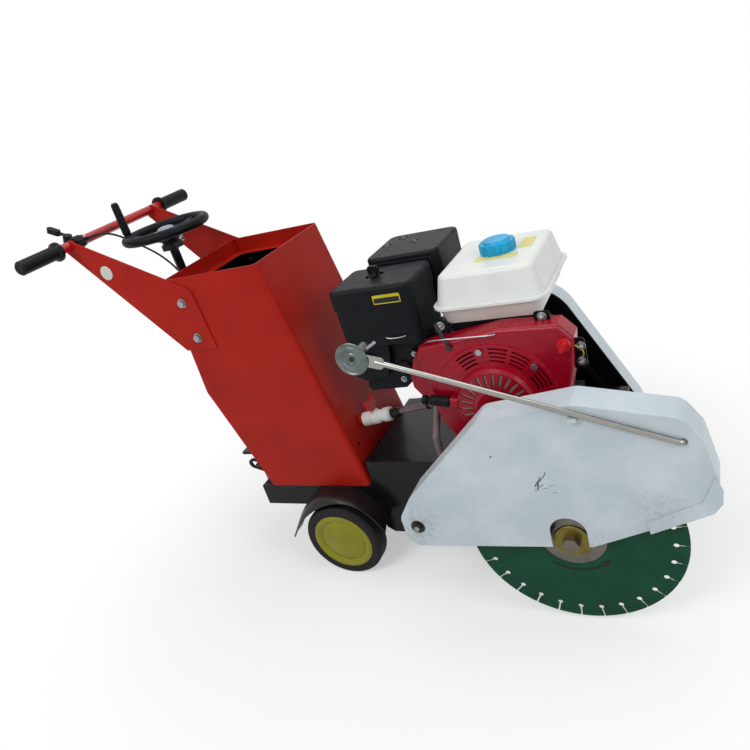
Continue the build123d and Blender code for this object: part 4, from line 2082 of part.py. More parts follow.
with BuildPart() as control_lever:
    with BuildSketch(side_plane(HOUSING_FACE - SEAT)):
        with Locations(((CONTROL_AT[0] + CONTROL_TIP[0]) / 2, (CONTROL_AT[1] + CONTROL_TIP[1]) / 2)):
            SlotOverall(CONTROL_LENGTH + CONTROL_W, CONTROL_W, rotation=CONTROL_ANGLE)
    extrude(amount=3)
    with BuildSketch(side_plane(HOUSING_FACE - SEAT - 3)):
        with Locations(CONTROL_AT):
            RegularPolygon(6, 6)
    extrude(amount=4)
    with BuildSketch(side_plane(HOUSING_FACE - SEAT)):
        with Locations(CONTROL_AT):
            Circle(PIN_R)
    extrude(amount=-ENGINE_SHEET - 6)
save(control_lever.part, "control_lever")

# ---------------------------------------------------------------- bolts

HEAD_H = 6.0

with BuildPart() as bolts:
    # handle plates to the tank
    for side in (-1, 1):
        face = side * (TANK_HALF + PLATE)
        for bolt in PLATE_BOLTS:
            with BuildSketch(side_plane(face)):
                with Locations(bolt):
                    Circle(11)
            extrude(amount=-side * 1.5)
            with BuildSketch(side_plane(face + side * 1.5)):
                with Locations(bolt):
                    RegularPolygon(9, 6)
            extrude(amount=-side * HEAD_H)
            with BuildSketch(side_plane(face)):
                with Locations(bolt):
                    Circle(PLATE_BOLT_R)
            extrude(amount=side * (PLATE + TANK_SHEET + 3))
    # engine feet to the rails
    for x in ENGINE_BOLT_X:
        for y in (-RAIL_Y, RAIL_Y):
            with BuildSketch(Plane.XY.offset(FOOT_Z + 16)):
                with Locations((x, y)):
                    RegularPolygon(9, 6)
            extrude(amount=HEAD_H)
            with BuildSketch(Plane.XY.offset(FOOT_Z + 16)):
                with Locations((x, y)):
                    Circle(ENGINE_BOLT_R)
            extrude(amount=-16 - RAIL_HEIGHT)
    # bearing blocks to the crossbeam
    for x in BEARING_BOLT_X:
        for y in (-BEARING_Y, BEARING_Y):
            with BuildSketch(Plane.XY.offset(BEARING_BASE_Z + 8)):
                with Locations((x, y)):
                    RegularPolygon(10, 6)
            extrude(amount=HEAD_H)
            with BuildSketch(Plane.XY.offset(BEARING_BASE_Z + 8)):
                with Locations((x, y)):
                    Circle(BEARING_BOLT_R)
            extrude(amount=-8 - 22)
    # fan housing to its posts
    for angle, radius in HOUSING_BOLTS:
        with BuildSketch(side_plane(HOUSING_FACE - 4)):
            with Locations(polar(radius, angle)):
                RegularPolygon(7, 6)
        extrude(amount=HEAD_H)
        with BuildSketch(side_plane(HOUSING_FACE - 4)):
            with Locations(polar(radius, angle)):
                Circle(COVER_BOLT_R)
        extrude(amount=-24)
save(bolts.part, "frame_bolts")
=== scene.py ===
"""Walk-behind concrete saw: paint, rubber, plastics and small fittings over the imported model."""
import math

import bmesh
import bpy
import numpy as np
from bpy.props import FloatProperty, FloatVectorProperty, PointerProperty
from mathutils import Matrix, Vector


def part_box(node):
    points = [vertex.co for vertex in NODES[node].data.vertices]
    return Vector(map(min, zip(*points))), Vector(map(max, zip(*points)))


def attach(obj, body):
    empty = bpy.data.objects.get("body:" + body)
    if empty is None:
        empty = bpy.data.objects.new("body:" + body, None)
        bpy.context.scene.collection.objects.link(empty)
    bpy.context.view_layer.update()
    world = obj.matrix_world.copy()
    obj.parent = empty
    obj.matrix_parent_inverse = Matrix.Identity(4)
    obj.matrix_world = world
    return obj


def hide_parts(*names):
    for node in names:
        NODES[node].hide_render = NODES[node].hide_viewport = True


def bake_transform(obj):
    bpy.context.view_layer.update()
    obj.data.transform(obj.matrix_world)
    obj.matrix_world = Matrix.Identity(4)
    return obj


bl_info = {
    "name": "Walk-Behind Concrete Saw",
    "version": (1, 0, 0),
    "blender": (4, 5, 0),
    "location": "View3D > Sidebar > Saw",
    "description": "Finishes and small fittings of a walk-behind concrete saw, and its stage",
    "category": "Add Mesh",
}

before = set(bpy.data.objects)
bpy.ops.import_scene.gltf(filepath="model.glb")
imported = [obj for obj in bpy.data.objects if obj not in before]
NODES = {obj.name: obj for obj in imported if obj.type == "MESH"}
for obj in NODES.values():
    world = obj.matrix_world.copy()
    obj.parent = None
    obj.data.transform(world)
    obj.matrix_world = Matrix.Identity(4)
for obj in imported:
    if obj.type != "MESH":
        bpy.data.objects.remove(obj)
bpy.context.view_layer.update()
MM = 0.001
WHITE = (1, 1, 1, 1)
BLACK = (0, 0, 0, 1)
MATERIALS = {}

# places that several pieces share, in millimetres
CRANK_X, CRANK_Z = 306.0, 446.0         # the crankshaft's middle line
GUARD_FACE = -302.0                     # Y of the blade guard's outer face
ACROSS, UP = (1, 0, 0), (0, 0, 1)       # right and up on a face that looks to the blade side
OUT = (0, -1, 0)                        # out of such a face
TANK_OUT = (0.9858, 0, 0.1678)          # out of the water tank's sloping front


# ---- colours

def linear(code, alpha=1.0):
    """Turn an sRGB hex colour into linear RGBA: ((c + 0.055) / 1.055) ** 2.4 above the toe."""
    parts = [int(code[i:i + 2], 16) / 255 for i in (1, 3, 5)]
    turned = [c / 12.92 if c <= 0.04045 else ((c + 0.055) / 1.055) ** 2.4 for c in parts]
    return (*turned, alpha)


def mm(*values):
    """Millimetres to metres, as a vector."""
    return Vector([v * MM for v in values])


# ---- node helper

def add_node(tree, kind, values=None, links=None, stops=(), **settings):
    """Add a shader node with its properties, input values, links and colour stops.

    A link comes from a socket, or from the first output of a node.
    """
    node = tree.nodes.new("ShaderNode" + kind)
    for key, value in settings.items():
        setattr(node, key, value)
    for key, value in (values or {}).items():
        node.inputs[key].default_value = value
    for key, source in (links or {}).items():
        socket = source.outputs[0] if isinstance(source, bpy.types.Node) else source
        tree.links.new(socket, node.inputs[key])
    for i, stop in enumerate(stops):
        node.color_ramp.elements[i].position, node.color_ramp.elements[i].color = stop
    return node


def new_material(name):
    """Make an empty node material and return its tree and its object coordinates."""
    material = bpy.data.materials.new(name)
    material.use_nodes = True
    tree = material.node_tree
    tree.nodes.clear()
    MATERIALS[name] = material
    return tree, add_node(tree, "TexCoord").outputs["Object"]


def blotches(size_mm, detail=3.0, roughness=0.55):
    """Values of a noise node whose blotches are about size_mm across."""
    return {"Scale": 1000 / size_mm, "Detail": detail, "Roughness": roughness}


def span(*limits):
    """Values of a map range node: from its first two limits to its last two."""
    return dict(zip(("From Min", "From Max", "To Min", "To Max"), limits))


def behind_planes(tree, place, planes):
    """1 where n . p < c for every plane (n, c in millimetres), else 0: the inside of a vessel."""
    inside = None
    for normal, reach in planes:
        along = add_node(tree, "VectorMath", {1: normal}, {0: place}, operation="DOT_PRODUCT")
        behind = add_node(tree, "Math", {1: reach * MM}, {0: along.outputs["Value"]}, operation="LESS_THAN")
        if inside is None:
            inside = behind
        else:
            inside = add_node(tree, "Math", links={0: inside, 1: behind}, operation="MULTIPLY")
    return inside


def soft_edge_normal(tree, height, strength, depth_mm, edge_mm=1.2):
    """Normal of a surface with rounded edges and a fine relief."""
    edge = add_node(tree, "Bevel", {"Radius": edge_mm * MM}, samples=4)
    return add_node(tree, "Bump", {"Strength": strength, "Distance": depth_mm * MM},
                    {"Height": height, "Normal": edge})


# ---- finishes

# painted shade: the dark colour given to the inside of the water tank
PAINTED_SHADE_INSIDE = "#170D0A"
GRIME_DEPTH = 0.62                      # how much of the paint the dirt hides at its middle

# planes half way through the water tank's sheet, as (outward normal, reach in millimetres); inside them the
# paint is darkened with painted shade
TANK_INSIDE = (
    ((0, 1, 0), 144.5), ((0, -1, 0), 144.5), ((0, 0, 1), 760.5), ((0, 0, -1), -233.5),
    ((0.98582, 0, 0.16780), -11.9), ((-0.99927, 0, 0.03829), 429.6), ((-0.95697, 0, -0.29020), 245.0),
    ((0.69708, -0.70711, 0.11865), 88.6), ((0.69708, 0.70711, 0.11865), 88.6),
)
TANK_RUST = (((-89, -136, 462), 24.0, "#3A1E10"), ((-30, -138, 262), 30.0, "#5A1A10"))
GUARD_GRIME = (((134, GUARD_FACE, 247), 80.0, "#7F8078"), ((470, GUARD_FACE, 200), 60.0, "#8E9088"),
               ((600, GUARD_FACE, 300), 70.0, "#9AA09C"))


def sprayed_enamel(name, colour, shade, dust, roughness=0.32, dust_amount=0.25, coat=0.1, sheen=0.3,
                   inside=(), grime=()):
    """Enamel sprayed on steel: faint orange peel, slow shifts of tone and a film of dust.

    grime is (place in millimetres, reach, colour) of dirt that thins out to nothing at its reach,
    and inside the planes of a vessel the paint is darkened with painted shade. Orange peel is drawn
    at 2.5 mm, coarser than the real one, so that it shows.
    """
    tree, place = new_material(name)
    slow = add_node(tree, "TexNoise", blotches(90, 4), {"Vector": place})
    drift = add_node(tree, "ValToRGB", links={"Fac": slow}, stops=((0.42, BLACK), (0.72, WHITE)))
    tone = add_node(tree, "Mix", {6: linear(colour), 7: linear(shade)}, {"Factor": drift}, data_type="RGBA")
    speck = add_node(tree, "TexNoise", blotches(14, 8, 0.7), {"Vector": place})
    thickest = (dust_amount, dust_amount, dust_amount, 1)
    film = add_node(tree, "ValToRGB", links={"Fac": speck}, stops=((0.5, BLACK), (0.85, thickest)))
    skin = add_node(tree, "Mix", {7: linear(dust)}, {"Factor": film, 6: tone.outputs[2]}, data_type="RGBA")
    for spot, reach, dirt in grime:
        away = add_node(tree, "VectorMath", {1: mm(*spot)}, {0: place}, operation="DISTANCE")
        near = add_node(tree, "MapRange", span(0.0, reach * MM, GRIME_DEPTH, 0.0),
                        {"Value": away.outputs["Value"]})
        blots = add_node(tree, "TexNoise", blotches(9, 9, 0.75), {"Vector": place})
        broken = add_node(tree, "ValToRGB", links={"Fac": blots}, stops=((0.46, BLACK), (0.62, WHITE)))
        patchy = add_node(tree, "Math", links={0: near, 1: broken}, operation="MULTIPLY")
        skin = add_node(tree, "Mix", {7: linear(dirt)}, {"Factor": patchy, 6: skin.outputs[2]},
                        data_type="RGBA")
    # painted shade: inside the vessel's planes the paint is darkened, as shade falls there
    if inside:
        skin = add_node(tree, "Mix", {7: linear(PAINTED_SHADE_INSIDE)},
                        {"Factor": behind_planes(tree, place, inside), 6: skin.outputs[2]}, data_type="RGBA")
    rough = add_node(tree, "MapRange", span(0.3, 0.8, roughness, roughness + 0.16), {"Value": speck})
    peel = add_node(tree, "TexNoise", blotches(2.5, 2), {"Vector": place})
    paint = add_node(tree, "BsdfPrincipled",
                     {"IOR": 1.5, "Specular IOR Level": sheen, "Coat Weight": coat, "Coat Roughness": 0.1},
                     {"Base Color": skin.outputs[2], "Roughness": rough,
                      "Normal": soft_edge_normal(tree, peel, 0.05, 0.2)})
    add_node(tree, "OutputMaterial", links={"Surface": paint})


def moulded_plastic(name, colour, shade, roughness=0.45, grain_mm=2.0, relief=0.1, sheen=0.3):
    """Moulded plastic: a fine etched grain, slight colour drift and a soft sheen.

    The grain of a mould is 0.1 to 0.3 mm and is drawn coarser, so that it shows.
    """
    tree, place = new_material(name)
    cloud = add_node(tree, "TexNoise", blotches(45, 5), {"Vector": place})
    tone = add_node(tree, "ValToRGB", links={"Fac": cloud},
                    stops=((0.35, linear(colour)), (0.75, linear(shade))))
    worn = add_node(tree, "TexNoise", blotches(22, 6), {"Vector": place})
    rough = add_node(tree, "MapRange", span(0.25, 0.75, roughness - 0.06, roughness + 0.1), {"Value": worn})
    etched = add_node(tree, "TexNoise", blotches(grain_mm, 2), {"Vector": place})
    plastic = add_node(tree, "BsdfPrincipled", {"IOR": 1.49, "Specular IOR Level": sheen},
                       {"Base Color": tone, "Roughness": rough,
                        "Normal": soft_edge_normal(tree, etched, relief, 0.12, 0.8)})
    add_node(tree, "OutputMaterial", links={"Surface": plastic})


def vulcanised_rubber(name, colour, bloom, roughness=0.6, grain_mm=1.4):
    """Moulded rubber: dark, with a grey bloom in patches and a dull pebbled skin."""
    tree, place = new_material(name)
    patch = add_node(tree, "TexNoise", blotches(30, 7, 0.65), {"Vector": place})
    tone = add_node(tree, "ValToRGB", links={"Fac": patch},
                    stops=((0.4, linear(colour)), (0.8, linear(bloom))))
    rough = add_node(tree, "MapRange", span(0.3, 0.7, roughness - 0.1, roughness + 0.12), {"Value": patch})
    pebbled = add_node(tree, "TexNoise", blotches(grain_mm), {"Vector": place})
    rubber = add_node(tree, "BsdfPrincipled", {"IOR": 1.52, "Specular IOR Level": 0.2},
                      {"Base Color": tone, "Roughness": rough,
                       "Normal": soft_edge_normal(tree, pebbled, 0.35, 0.2, 1.0)})
    add_node(tree, "OutputMaterial", links={"Surface": rubber})


def bare_metal(name, colour, shade, roughness=0.3, brush_mm=(0.5, 25.0, 0.5), relief=0.15, edge_mm=0.6):
    """Plated or turned steel: marks as long as brush_mm, with darker tarnish in patches.

    Lathe marks are finer than 0.5 mm and are drawn that coarse, so that they show.
    """
    tree, place = new_material(name)
    stretched = add_node(tree, "Mapping", {"Scale": [1 / s for s in brush_mm]}, {"Vector": place})
    lines = add_node(tree, "TexNoise", {"Scale": 1000, "Detail": 2}, {"Vector": stretched})
    tarnish = add_node(tree, "TexNoise", blotches(18, 6, 0.65), {"Vector": place})
    tone = add_node(tree, "ValToRGB", links={"Fac": tarnish},
                    stops=((0.35, linear(colour)), (0.8, linear(shade))))
    rough = add_node(tree, "MapRange", span(0.2, 0.8, roughness - 0.08, roughness + 0.14), {"Value": lines})
    metal = add_node(tree, "BsdfPrincipled", {"Metallic": 1},
                     {"Base Color": tone, "Roughness": rough,
                      "Normal": soft_edge_normal(tree, lines, relief, 0.05, edge_mm)})
    add_node(tree, "OutputMaterial", links={"Surface": metal})


def cast_metal(name, colour, shade, roughness=0.5):
    """Sand-cast metal: a pebbled skin with darker hollows."""
    tree, place = new_material(name)
    pebble = add_node(tree, "TexNoise", blotches(2.2, 4, 0.6), {"Vector": place})
    hollow = add_node(tree, "TexNoise", blotches(25, 6), {"Vector": place})
    tone = add_node(tree, "ValToRGB", links={"Fac": hollow},
                    stops=((0.35, linear(colour)), (0.75, linear(shade))))
    metal = add_node(tree, "BsdfPrincipled", {"Metallic": 0.9, "Roughness": roughness},
                     {"Base Color": tone, "Normal": soft_edge_normal(tree, pebble, 0.4, 0.35, 1.0)})
    add_node(tree, "OutputMaterial", links={"Surface": metal})


# ---- this saw's finishes

def look(*colours, **settings):
    """The colours and the settings that one finish gives its maker."""
    return colours, settings


ENAMELS = {
    # brick-red sheet gone dull: no gloss coat, slow darker patches, rust at two chips, painted shade inside
    "tank_enamel": look("#A61D10", "#98170D", "#7A4434", dust_amount=0.1,
                        coat=0.0, sheen=0.12, inside=TANK_INSIDE, grime=TANK_RUST),
    # cooler, glossier red of the handled bar: clean, with sharp highlights along the tube
    "bar_enamel": look("#B4161F", "#A0121A", "#8A4A44", roughness=0.22, dust_amount=0.06, coat=0.3),
    # black chassis paint: almost black, wet in its folds, with dust specks
    "chassis_enamel": look("#090A0E", "#0E0F12", "#3C3936", roughness=0.2, dust_amount=0.08, sheen=0.16),
    # brownish black of the mudguards: worn flat by grit
    "mudguard_enamel": look("#1C1415", "#130F10", "#3E3636", roughness=0.3, dust_amount=0.15, coat=0.0),
    # heat-proof black of the muffler: matt, with no gloss at all
    "muffler_enamel": look("#0A0D11", "#0D1014", "#2A2B2E", roughness=0.4, dust_amount=0.06,
                           coat=0.0, sheen=0.14),
    # bluish white of the guards: pale, cloudy, with grey handling dirt round bolt, arbor and nose
    "guard_enamel": look("#BCC7CD", "#CCD5DA", "#8C9092", dust_amount=0.12, grime=GUARD_GRIME),
    # crimson of the engine's pressed housing: deep and wet
    "housing_enamel": look("#9C0420", "#860319", "#5A3034", roughness=0.2, dust_amount=0.06, sheen=0.2),
    # warm white of the fuel tank: smooth and bright
    "fuel_tank_enamel": look("#E0E2DD", "#D6D8D2", "#A39C90", roughness=0.26, dust_amount=0.08),
    # mustard yellow of the wheel hubs: dusty
    "hub_enamel": look("#8C8A0C", "#7C7A0C", "#4E4A20", roughness=0.34, dust_amount=0.2),
    # bottle green of the blade's core: flat, with a little grey wear
    "blade_enamel": look("#0C4830", "#093A27", "#2C4C40", roughness=0.3, dust_amount=0.1,
                         coat=0.0, sheen=0.14),
}

RUBBERS = {
    # solid tyre: near black, with a brown-grey bloom
    "tyre_rubber": look("#131111", "#262322"),
    # belt rubber: fine and a little shinier
    "grip_rubber": look("#121213", "#232323", roughness=0.5, grain_mm=0.9),
    # aged clear hose: mauve-grey and half glossy
    "hose_rubber": look("#6E5F62", "#857679", roughness=0.4, grain_mm=1.6),
    # cable sheath: black and smooth
    "cable_sheath": look("#0F0F10", "#1E1E1F", roughness=0.42, grain_mm=1.2),
    # braided starter cord: dry black with lighter fibres
    "braided_cord": look("#1A1A1C", "#3A3A3C", roughness=0.7, grain_mm=1.5),
}

PLASTICS = {
    # black housings: etched and dull, so edges show as soft lines
    "black_abs": look("#090C10", "#0D1014", grain_mm=0.9, relief=0.25, sheen=0.13),
    # grip sleeves: soft black with a touch of green
    "grip_pvc": look("#090C0B", "#0E1110", roughness=0.4, grain_mm=1.2, relief=0.2, sheen=0.16),
    # valve body: milky white pipe plastic
    "valve_pvc": look("#DADBD6", "#CCCBC4", roughness=0.36, grain_mm=1.5, relief=0.12),
    # valve handle: signal red, smooth
    "valve_handle_pvc": look("#CC0A20", "#B4081A", roughness=0.34, grain_mm=1.5, relief=0.12),
    # engine switch: a warmer red
    "switch_plastic": look("#D4101E", "#B80E18", roughness=0.34, grain_mm=1.2, relief=0.12),
    # fuel cap: bright blue with soft highlights on its lobes
    "cap_plastic": look("#1CA6D8", "#1489BC", roughness=0.34, grain_mm=1.2, relief=0.15),
    # bare stickers, faded and bright yellow, and the black field and arrow ink: smooth film
    "label_vinyl": look("#D9D27A", "#CFC98A", roughness=0.5, grain_mm=3.0, relief=0.05),
    "yellow_vinyl": look("#C9B41E", "#B8A51C", grain_mm=3.0, relief=0.05),
    "black_ink": look("#0C120F", "#131A16", roughness=0.5, grain_mm=3.0, relief=0.05),
    # plug in the handle plate: grey-green white
    "pale_cap": look("#C9CCC0", "#B7BAAE", roughness=0.4),
    # hand wheel's cap: blue-grey
    "blue_grey_cap": look("#8F9AAD", "#7B8698", roughness=0.42),
    # switch lead: amber yellow
    "yellow_wire": look("#C8A21E", "#B08E18", roughness=0.4),
    # painted shade in the open drain's hole: dull brown black
    "drain_hole_shade": look("#1A0B07", "#120604", roughness=0.6),
    # grey primer where the guard's paint is scratched
    "scuffed_primer": look("#5E6468", "#4A4E50", roughness=0.6),
    # pale disc behind the starter's slots: painted light showing through them, cream
    "painted_slot_light": look("#C9CDB6", "#B9BDA6", roughness=0.42, grain_mm=1.5),
}

STEELS = {
    # bolts: bright zinc, even all round
    "bright_zinc": look("#A4A8AB", "#7E8082", roughness=0.26, brush_mm=(30, 30, 30)),
    # arbor washer: yellow passivated zinc
    "yellow_zinc": look("#7C7238", "#5E5528", roughness=0.32, brush_mm=(25, 25, 25)),
    # guide wheel: clear zinc with a green-grey cast and dark patches
    "clear_zinc": look("#737C7A", "#4D5553", brush_mm=(12, 12, 12)),
    # shafts and screw: turned, with fine rings
    "turned_steel": look("#B4B6B8", "#85827E", roughness=0.28),
    # levers and nuts: dark and oily
    "oiled_steel": look("#4A4744", "#2C2927", roughness=0.42),
    # guide rod: drawn bar, smooth and bright along one line
    "drawn_rod": look("#9B9A97", "#8F8E8A", roughness=0.16, brush_mm=(90, 90, 90), relief=0.0, edge_mm=0.0),
    # blade flange and arbor bolt: brown-grey steel, half matt
    "flange_steel": look("#77706A", "#5C5650", roughness=0.4, brush_mm=(30, 30, 30)),
}

CASTINGS = {
    # iron pulleys, bearings and crankcase: dark with a rough skin
    "cast_iron": look("#3B3B3D", "#29282A"),
    # the fan's alloy: light grey
    "cast_aluminium": look("#A9AAAA", "#8B8A88", roughness=0.48),
}


KINDS = ((sprayed_enamel, ENAMELS), (vulcanised_rubber, RUBBERS), (moulded_plastic, PLASTICS),
         (bare_metal, STEELS), (cast_metal, CASTINGS))

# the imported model's pieces by finish, each named once
FINISHES = {
    "tank_enamel": ("water_tank", "handle_plates"),
    "bar_enamel": ("handlebar",),
    "mudguard_enamel": ("mudguards",),
    "chassis_enamel": ("chassis_frame", "screw_column", "bell_crank", "front_swing_arm", "belt_guard_plate"),
    "muffler_enamel": ("muffler",),
    "guard_enamel": ("blade_guard", "guard_nose", "belt_guard"),
    "housing_enamel": ("fan_housing", "recoil_cover"),
    "fuel_tank_enamel": ("fuel_tank",),
    "hub_enamel": ("rear_hub_right", "rear_hub_left"),
    "blade_enamel": ("blade",),
    "tyre_rubber": ("rear_tyre_right", "rear_tyre_left", "front_wheel_right", "front_wheel_left"),
    "grip_pvc": ("grip_left", "grip_right"),
    "grip_rubber": ("drive_belts",),
    "hose_rubber": ("water_hose", "spray_pipe"),
    "cable_sheath": ("throttle_cable",),
    "black_abs": ("air_cleaner", "air_cleaner_knob", "carburettor", "throttle_lever", "lever_clamp",
                  "handwheel", "handwheel_knob", "recoil_grip"),
    "valve_pvc": ("valve_body",),
    "valve_handle_pvc": ("valve_handle",),
    "switch_plastic": ("engine_switch",),
    "cap_plastic": ("fuel_cap",),
    "bright_zinc": ("frame_bolts", "guide_disc"),
    "drawn_rod": ("guide_rod",),
    "flange_steel": ("outer_flange", "arbor_bolt"),
    "turned_steel": ("rear_axle", "lead_screw", "push_rod", "arbor_shaft", "crankshaft", "inner_flange"),
    "oiled_steel": ("lift_nut", "control_lever", "guard_pivot_bolt"),
    "cast_iron": ("arbor_pulley", "engine_pulley", "bearing_blocks", "crankcase"),
    "cast_aluminium": ("flywheel_fan",),
}


# ---- shape helpers

def box_mm(name):
    """Low corner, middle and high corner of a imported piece's box, in millimetres."""
    low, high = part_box(name)
    return low / MM, (low + high) / 2 / MM, high / MM


def grid_shape(points, wrap=(False, False), caps=(False, False)):
    """Quads over a grid of points [rows, columns, 3]; rows or columns close on request."""
    rows, columns = points.shape[:2]
    index = np.arange(rows * columns).reshape(rows, columns)
    top = index if wrap[0] else index[:-1]
    down = np.roll(index, -1, 0) if wrap[0] else index[1:]
    if wrap[1]:
        quads = np.stack([top, np.roll(top, -1, 1), np.roll(down, -1, 1), down], -1).reshape(-1, 4)
    else:
        quads = np.stack([top[:, :-1], top[:, 1:], down[:, 1:], down[:, :-1]], -1).reshape(-1, 4)
    faces = quads.tolist()
    if caps[0]:
        faces.append(index[0, ::-1].tolist())
    if caps[1]:
        faces.append(index[-1].tolist())
    return points.reshape(-1, 3), faces


def frame_of(axis):
    """Two unit vectors square to an axis, and the axis itself, as arrays."""
    axis = np.asarray(axis, float) / np.linalg.norm(axis)
    side = np.cross(UP if abs(axis[2]) < 0.9 else ACROSS, axis)
    side /= np.linalg.norm(side)
    return side, np.cross(axis, side), axis


def revolved(profile, at, axis, sides=48, turn=0.0):
    """Turn (radius, height) points round an axis: at + h axis + r (cos a side + sin a up).

    A profile that ends where it starts gives a closed ring.
    """
    side, up, axis = frame_of(axis)
    profile = np.asarray(profile, float)
    angle = np.linspace(0, 2 * math.pi, sides, endpoint=False) + turn
    ring = np.cos(angle)[:, None] * side + np.sin(angle)[:, None] * up
    points = np.asarray(at, float) + profile[:, 1, None, None] * axis + profile[:, 0, None, None] * ring
    if np.allclose(profile[0], profile[-1]):
        return grid_shape(points[:-1], wrap=(True, True))
    return grid_shape(points, wrap=(False, True), caps=(profile[0, 0] > 0, profile[-1, 0] > 0))


def flat_ring(inner, outer, thick, at, axis, sides=72):
    """A flat ring: a closed rectangle turned round an axis."""
    profile = ((inner, 0), (outer, 0), (outer, thick), (inner, thick), (inner, 0))
    return revolved(profile, at, axis, sides)


def spline(points, count):
    """Uniform cubic B-spline through doubled end points, sampled evenly in its parameter."""
    points = np.asarray(points, float)
    held = np.concatenate([points[:1], points[:1], points, points[-1:], points[-1:]])
    t = np.linspace(0, len(held) - 3 - 1e-9, count)
    k = t.astype(int)
    f = (t - k)[:, None]
    weights = ((1 - f) ** 3, 3 * f ** 3 - 6 * f ** 2 + 4, -3 * f ** 3 + 3 * f ** 2 + 3 * f + 1, f ** 3)
    return sum(w * held[k + i] for i, w in enumerate(weights)) / 6


def swept(path, radius, sides=12, across=UP):
    """A round bar along a path: p + r (cos a s + sin a n), s = tangent x across, n = s x tangent."""
    path = np.asarray(path, float)
    tangent = np.gradient(path, axis=0)
    tangent /= np.linalg.norm(tangent, axis=1)[:, None]
    side = np.cross(tangent, across)
    side /= np.linalg.norm(side, axis=1)[:, None]
    up = np.cross(side, tangent)
    angle = np.linspace(0, 2 * math.pi, sides, endpoint=False)
    ring = np.cos(angle)[None, :, None] * side[:, None] + np.sin(angle)[None, :, None] * up[:, None]
    return grid_shape(path[:, None] + radius * ring, wrap=(False, True), caps=(True, True))


def rounded_slab(middle, right, up, width, height, thick, corner, steps=6):
    """A flat plate with round corners: four quarter arcs, given an inner and an outer face."""
    right, up = np.asarray(right, float), np.asarray(up, float)
    out = np.cross(right, up)
    quarter = np.linspace(0, math.pi / 2, steps)
    arcs = []
    for k, (sx, sy) in enumerate(((1, 1), (-1, 1), (-1, -1), (1, -1))):
        angle = quarter + k * math.pi / 2
        arcs.append(np.stack([sx * (width / 2 - corner) + corner * np.cos(angle),
                              sy * (height / 2 - corner) + corner * np.sin(angle)], -1))
    rim = np.concatenate(arcs)
    flat = np.asarray(middle, float) + rim[:, :1] * right + rim[:, 1:] * up
    return grid_shape(np.stack([flat, flat + thick * out]), wrap=(False, True), caps=(True, True))


def outline_plate(outline, y, thick):
    """A flat plate parallel to the XZ plane: the outline at y and again at y + thick, joined."""
    flat = np.asarray(outline, float)
    layers = [np.stack([flat[:, 0], np.full(len(flat), v), flat[:, 1]], -1) for v in (y, y + thick)]
    return grid_shape(np.stack(layers), wrap=(False, True), caps=(True, True))


def hex_bolt(at, axis, across=10.0, height=6.4, washer=10.0, turn=0.2):
    """Washer, chamfered six-sided head and the thread's end, all turned profiles on one axis."""
    corner, stud_r, stud_end = across / math.sqrt(3), across * 0.28, across * 0.2
    head = revolved(((corner, 1.6), (corner, height), (corner * 0.86, height + 1.2)), at, axis, 6, turn)
    ring = revolved(((washer, 0.0), (washer, 1.4), (washer - 0.4, 1.7), (0, 1.7)), at, axis, 28)
    stud = revolved(((stud_r, height), (stud_r, height + 2.6), (stud_end, height + 3.2)), at, axis, 14)
    return [ring, head, stud]


def make_piece(name, shapes, finish, body="root", angle=35.0):
    """Join shapes given in millimetres into one object, smooth it and let it ride on a body.

    Edges sharper than angle stay sharp. Without a body the caller says what it rides on.
    """
    vertices, faces, start = [], [], 0
    for points, polygons in shapes:
        vertices.append(np.asarray(points) * MM)
        faces.extend([[i + start for i in polygon] for polygon in polygons])
        start += len(points)
    mesh = bpy.data.meshes.new(name)
    mesh.from_pydata(np.concatenate(vertices).tolist(), [], faces)
    welded = bmesh.new()
    welded.from_mesh(mesh)
    bmesh.ops.remove_doubles(welded, verts=welded.verts, dist=1e-6)
    bmesh.ops.recalc_face_normals(welded, faces=welded.faces)
    welded.to_mesh(mesh)
    welded.free()
    mesh.shade_smooth()
    mesh.set_sharp_from_angle(angle=math.radians(angle))
    mesh.materials.append(MATERIALS[finish])
    piece = bpy.data.objects.new(name, mesh)
    bpy.context.scene.collection.objects.link(piece)
    if body:
        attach(piece, body)
    return piece


def nurbs_cord(name, route, diameter, finish, body="root"):
    """A round cord on a quadratic NURBS spline over the route's points, given in millimetres."""
    curve = bpy.data.curves.new(name, "CURVE")
    curve.dimensions = "3D"
    curve.bevel_depth = diameter / 2
    curve.bevel_resolution = 4
    curve.use_fill_caps = True
    line = curve.splines.new("NURBS")
    line.points.add(len(route) - 1)
    for point, (x, y, z) in zip(line.points, route):
        point.co = (x * MM, y * MM, z * MM, 1.0)
    line.order_u = 3
    line.use_endpoint_u = True
    line.resolution_u = 8
    curve.materials.append(MATERIALS[finish])
    cord = bpy.data.objects.new(name, curve)
    bpy.context.scene.collection.objects.link(cord)
    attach(cord, body)
    return cord


# ---- properties

class SawStageSettings(bpy.types.PropertyGroup):
    floor_colour: FloatVectorProperty(
        name="Floor colour", description="Colour of the floor and backdrop", subtype="COLOR", size=3,
        default=(0.90, 0.90, 0.90), min=0.0, max=1.0)
    lamp_power: FloatProperty(
        name="Lamp power", description="Power of the main lamp", unit="POWER", default=38.0, min=0.0)


class SawFittingSettings(bpy.types.PropertyGroup):
    hose_diameter: FloatProperty(
        name="Hose", description="Outside diameter of the water hose", unit="LENGTH",
        default=0.013, min=0.006)
    cable_diameter: FloatProperty(
        name="Throttle cable", description="Diameter of the throttle cable", unit="LENGTH",
        default=0.005, min=0.002)
    cord_diameter: FloatProperty(
        name="Starter cord", description="Diameter of the starter cord", unit="LENGTH",
        default=0.0045, min=0.002)
    rod_diameter: FloatProperty(
        name="Governor rod", description="Diameter of the governor rod", unit="LENGTH",
        default=0.003, min=0.001)


# ---- pieces

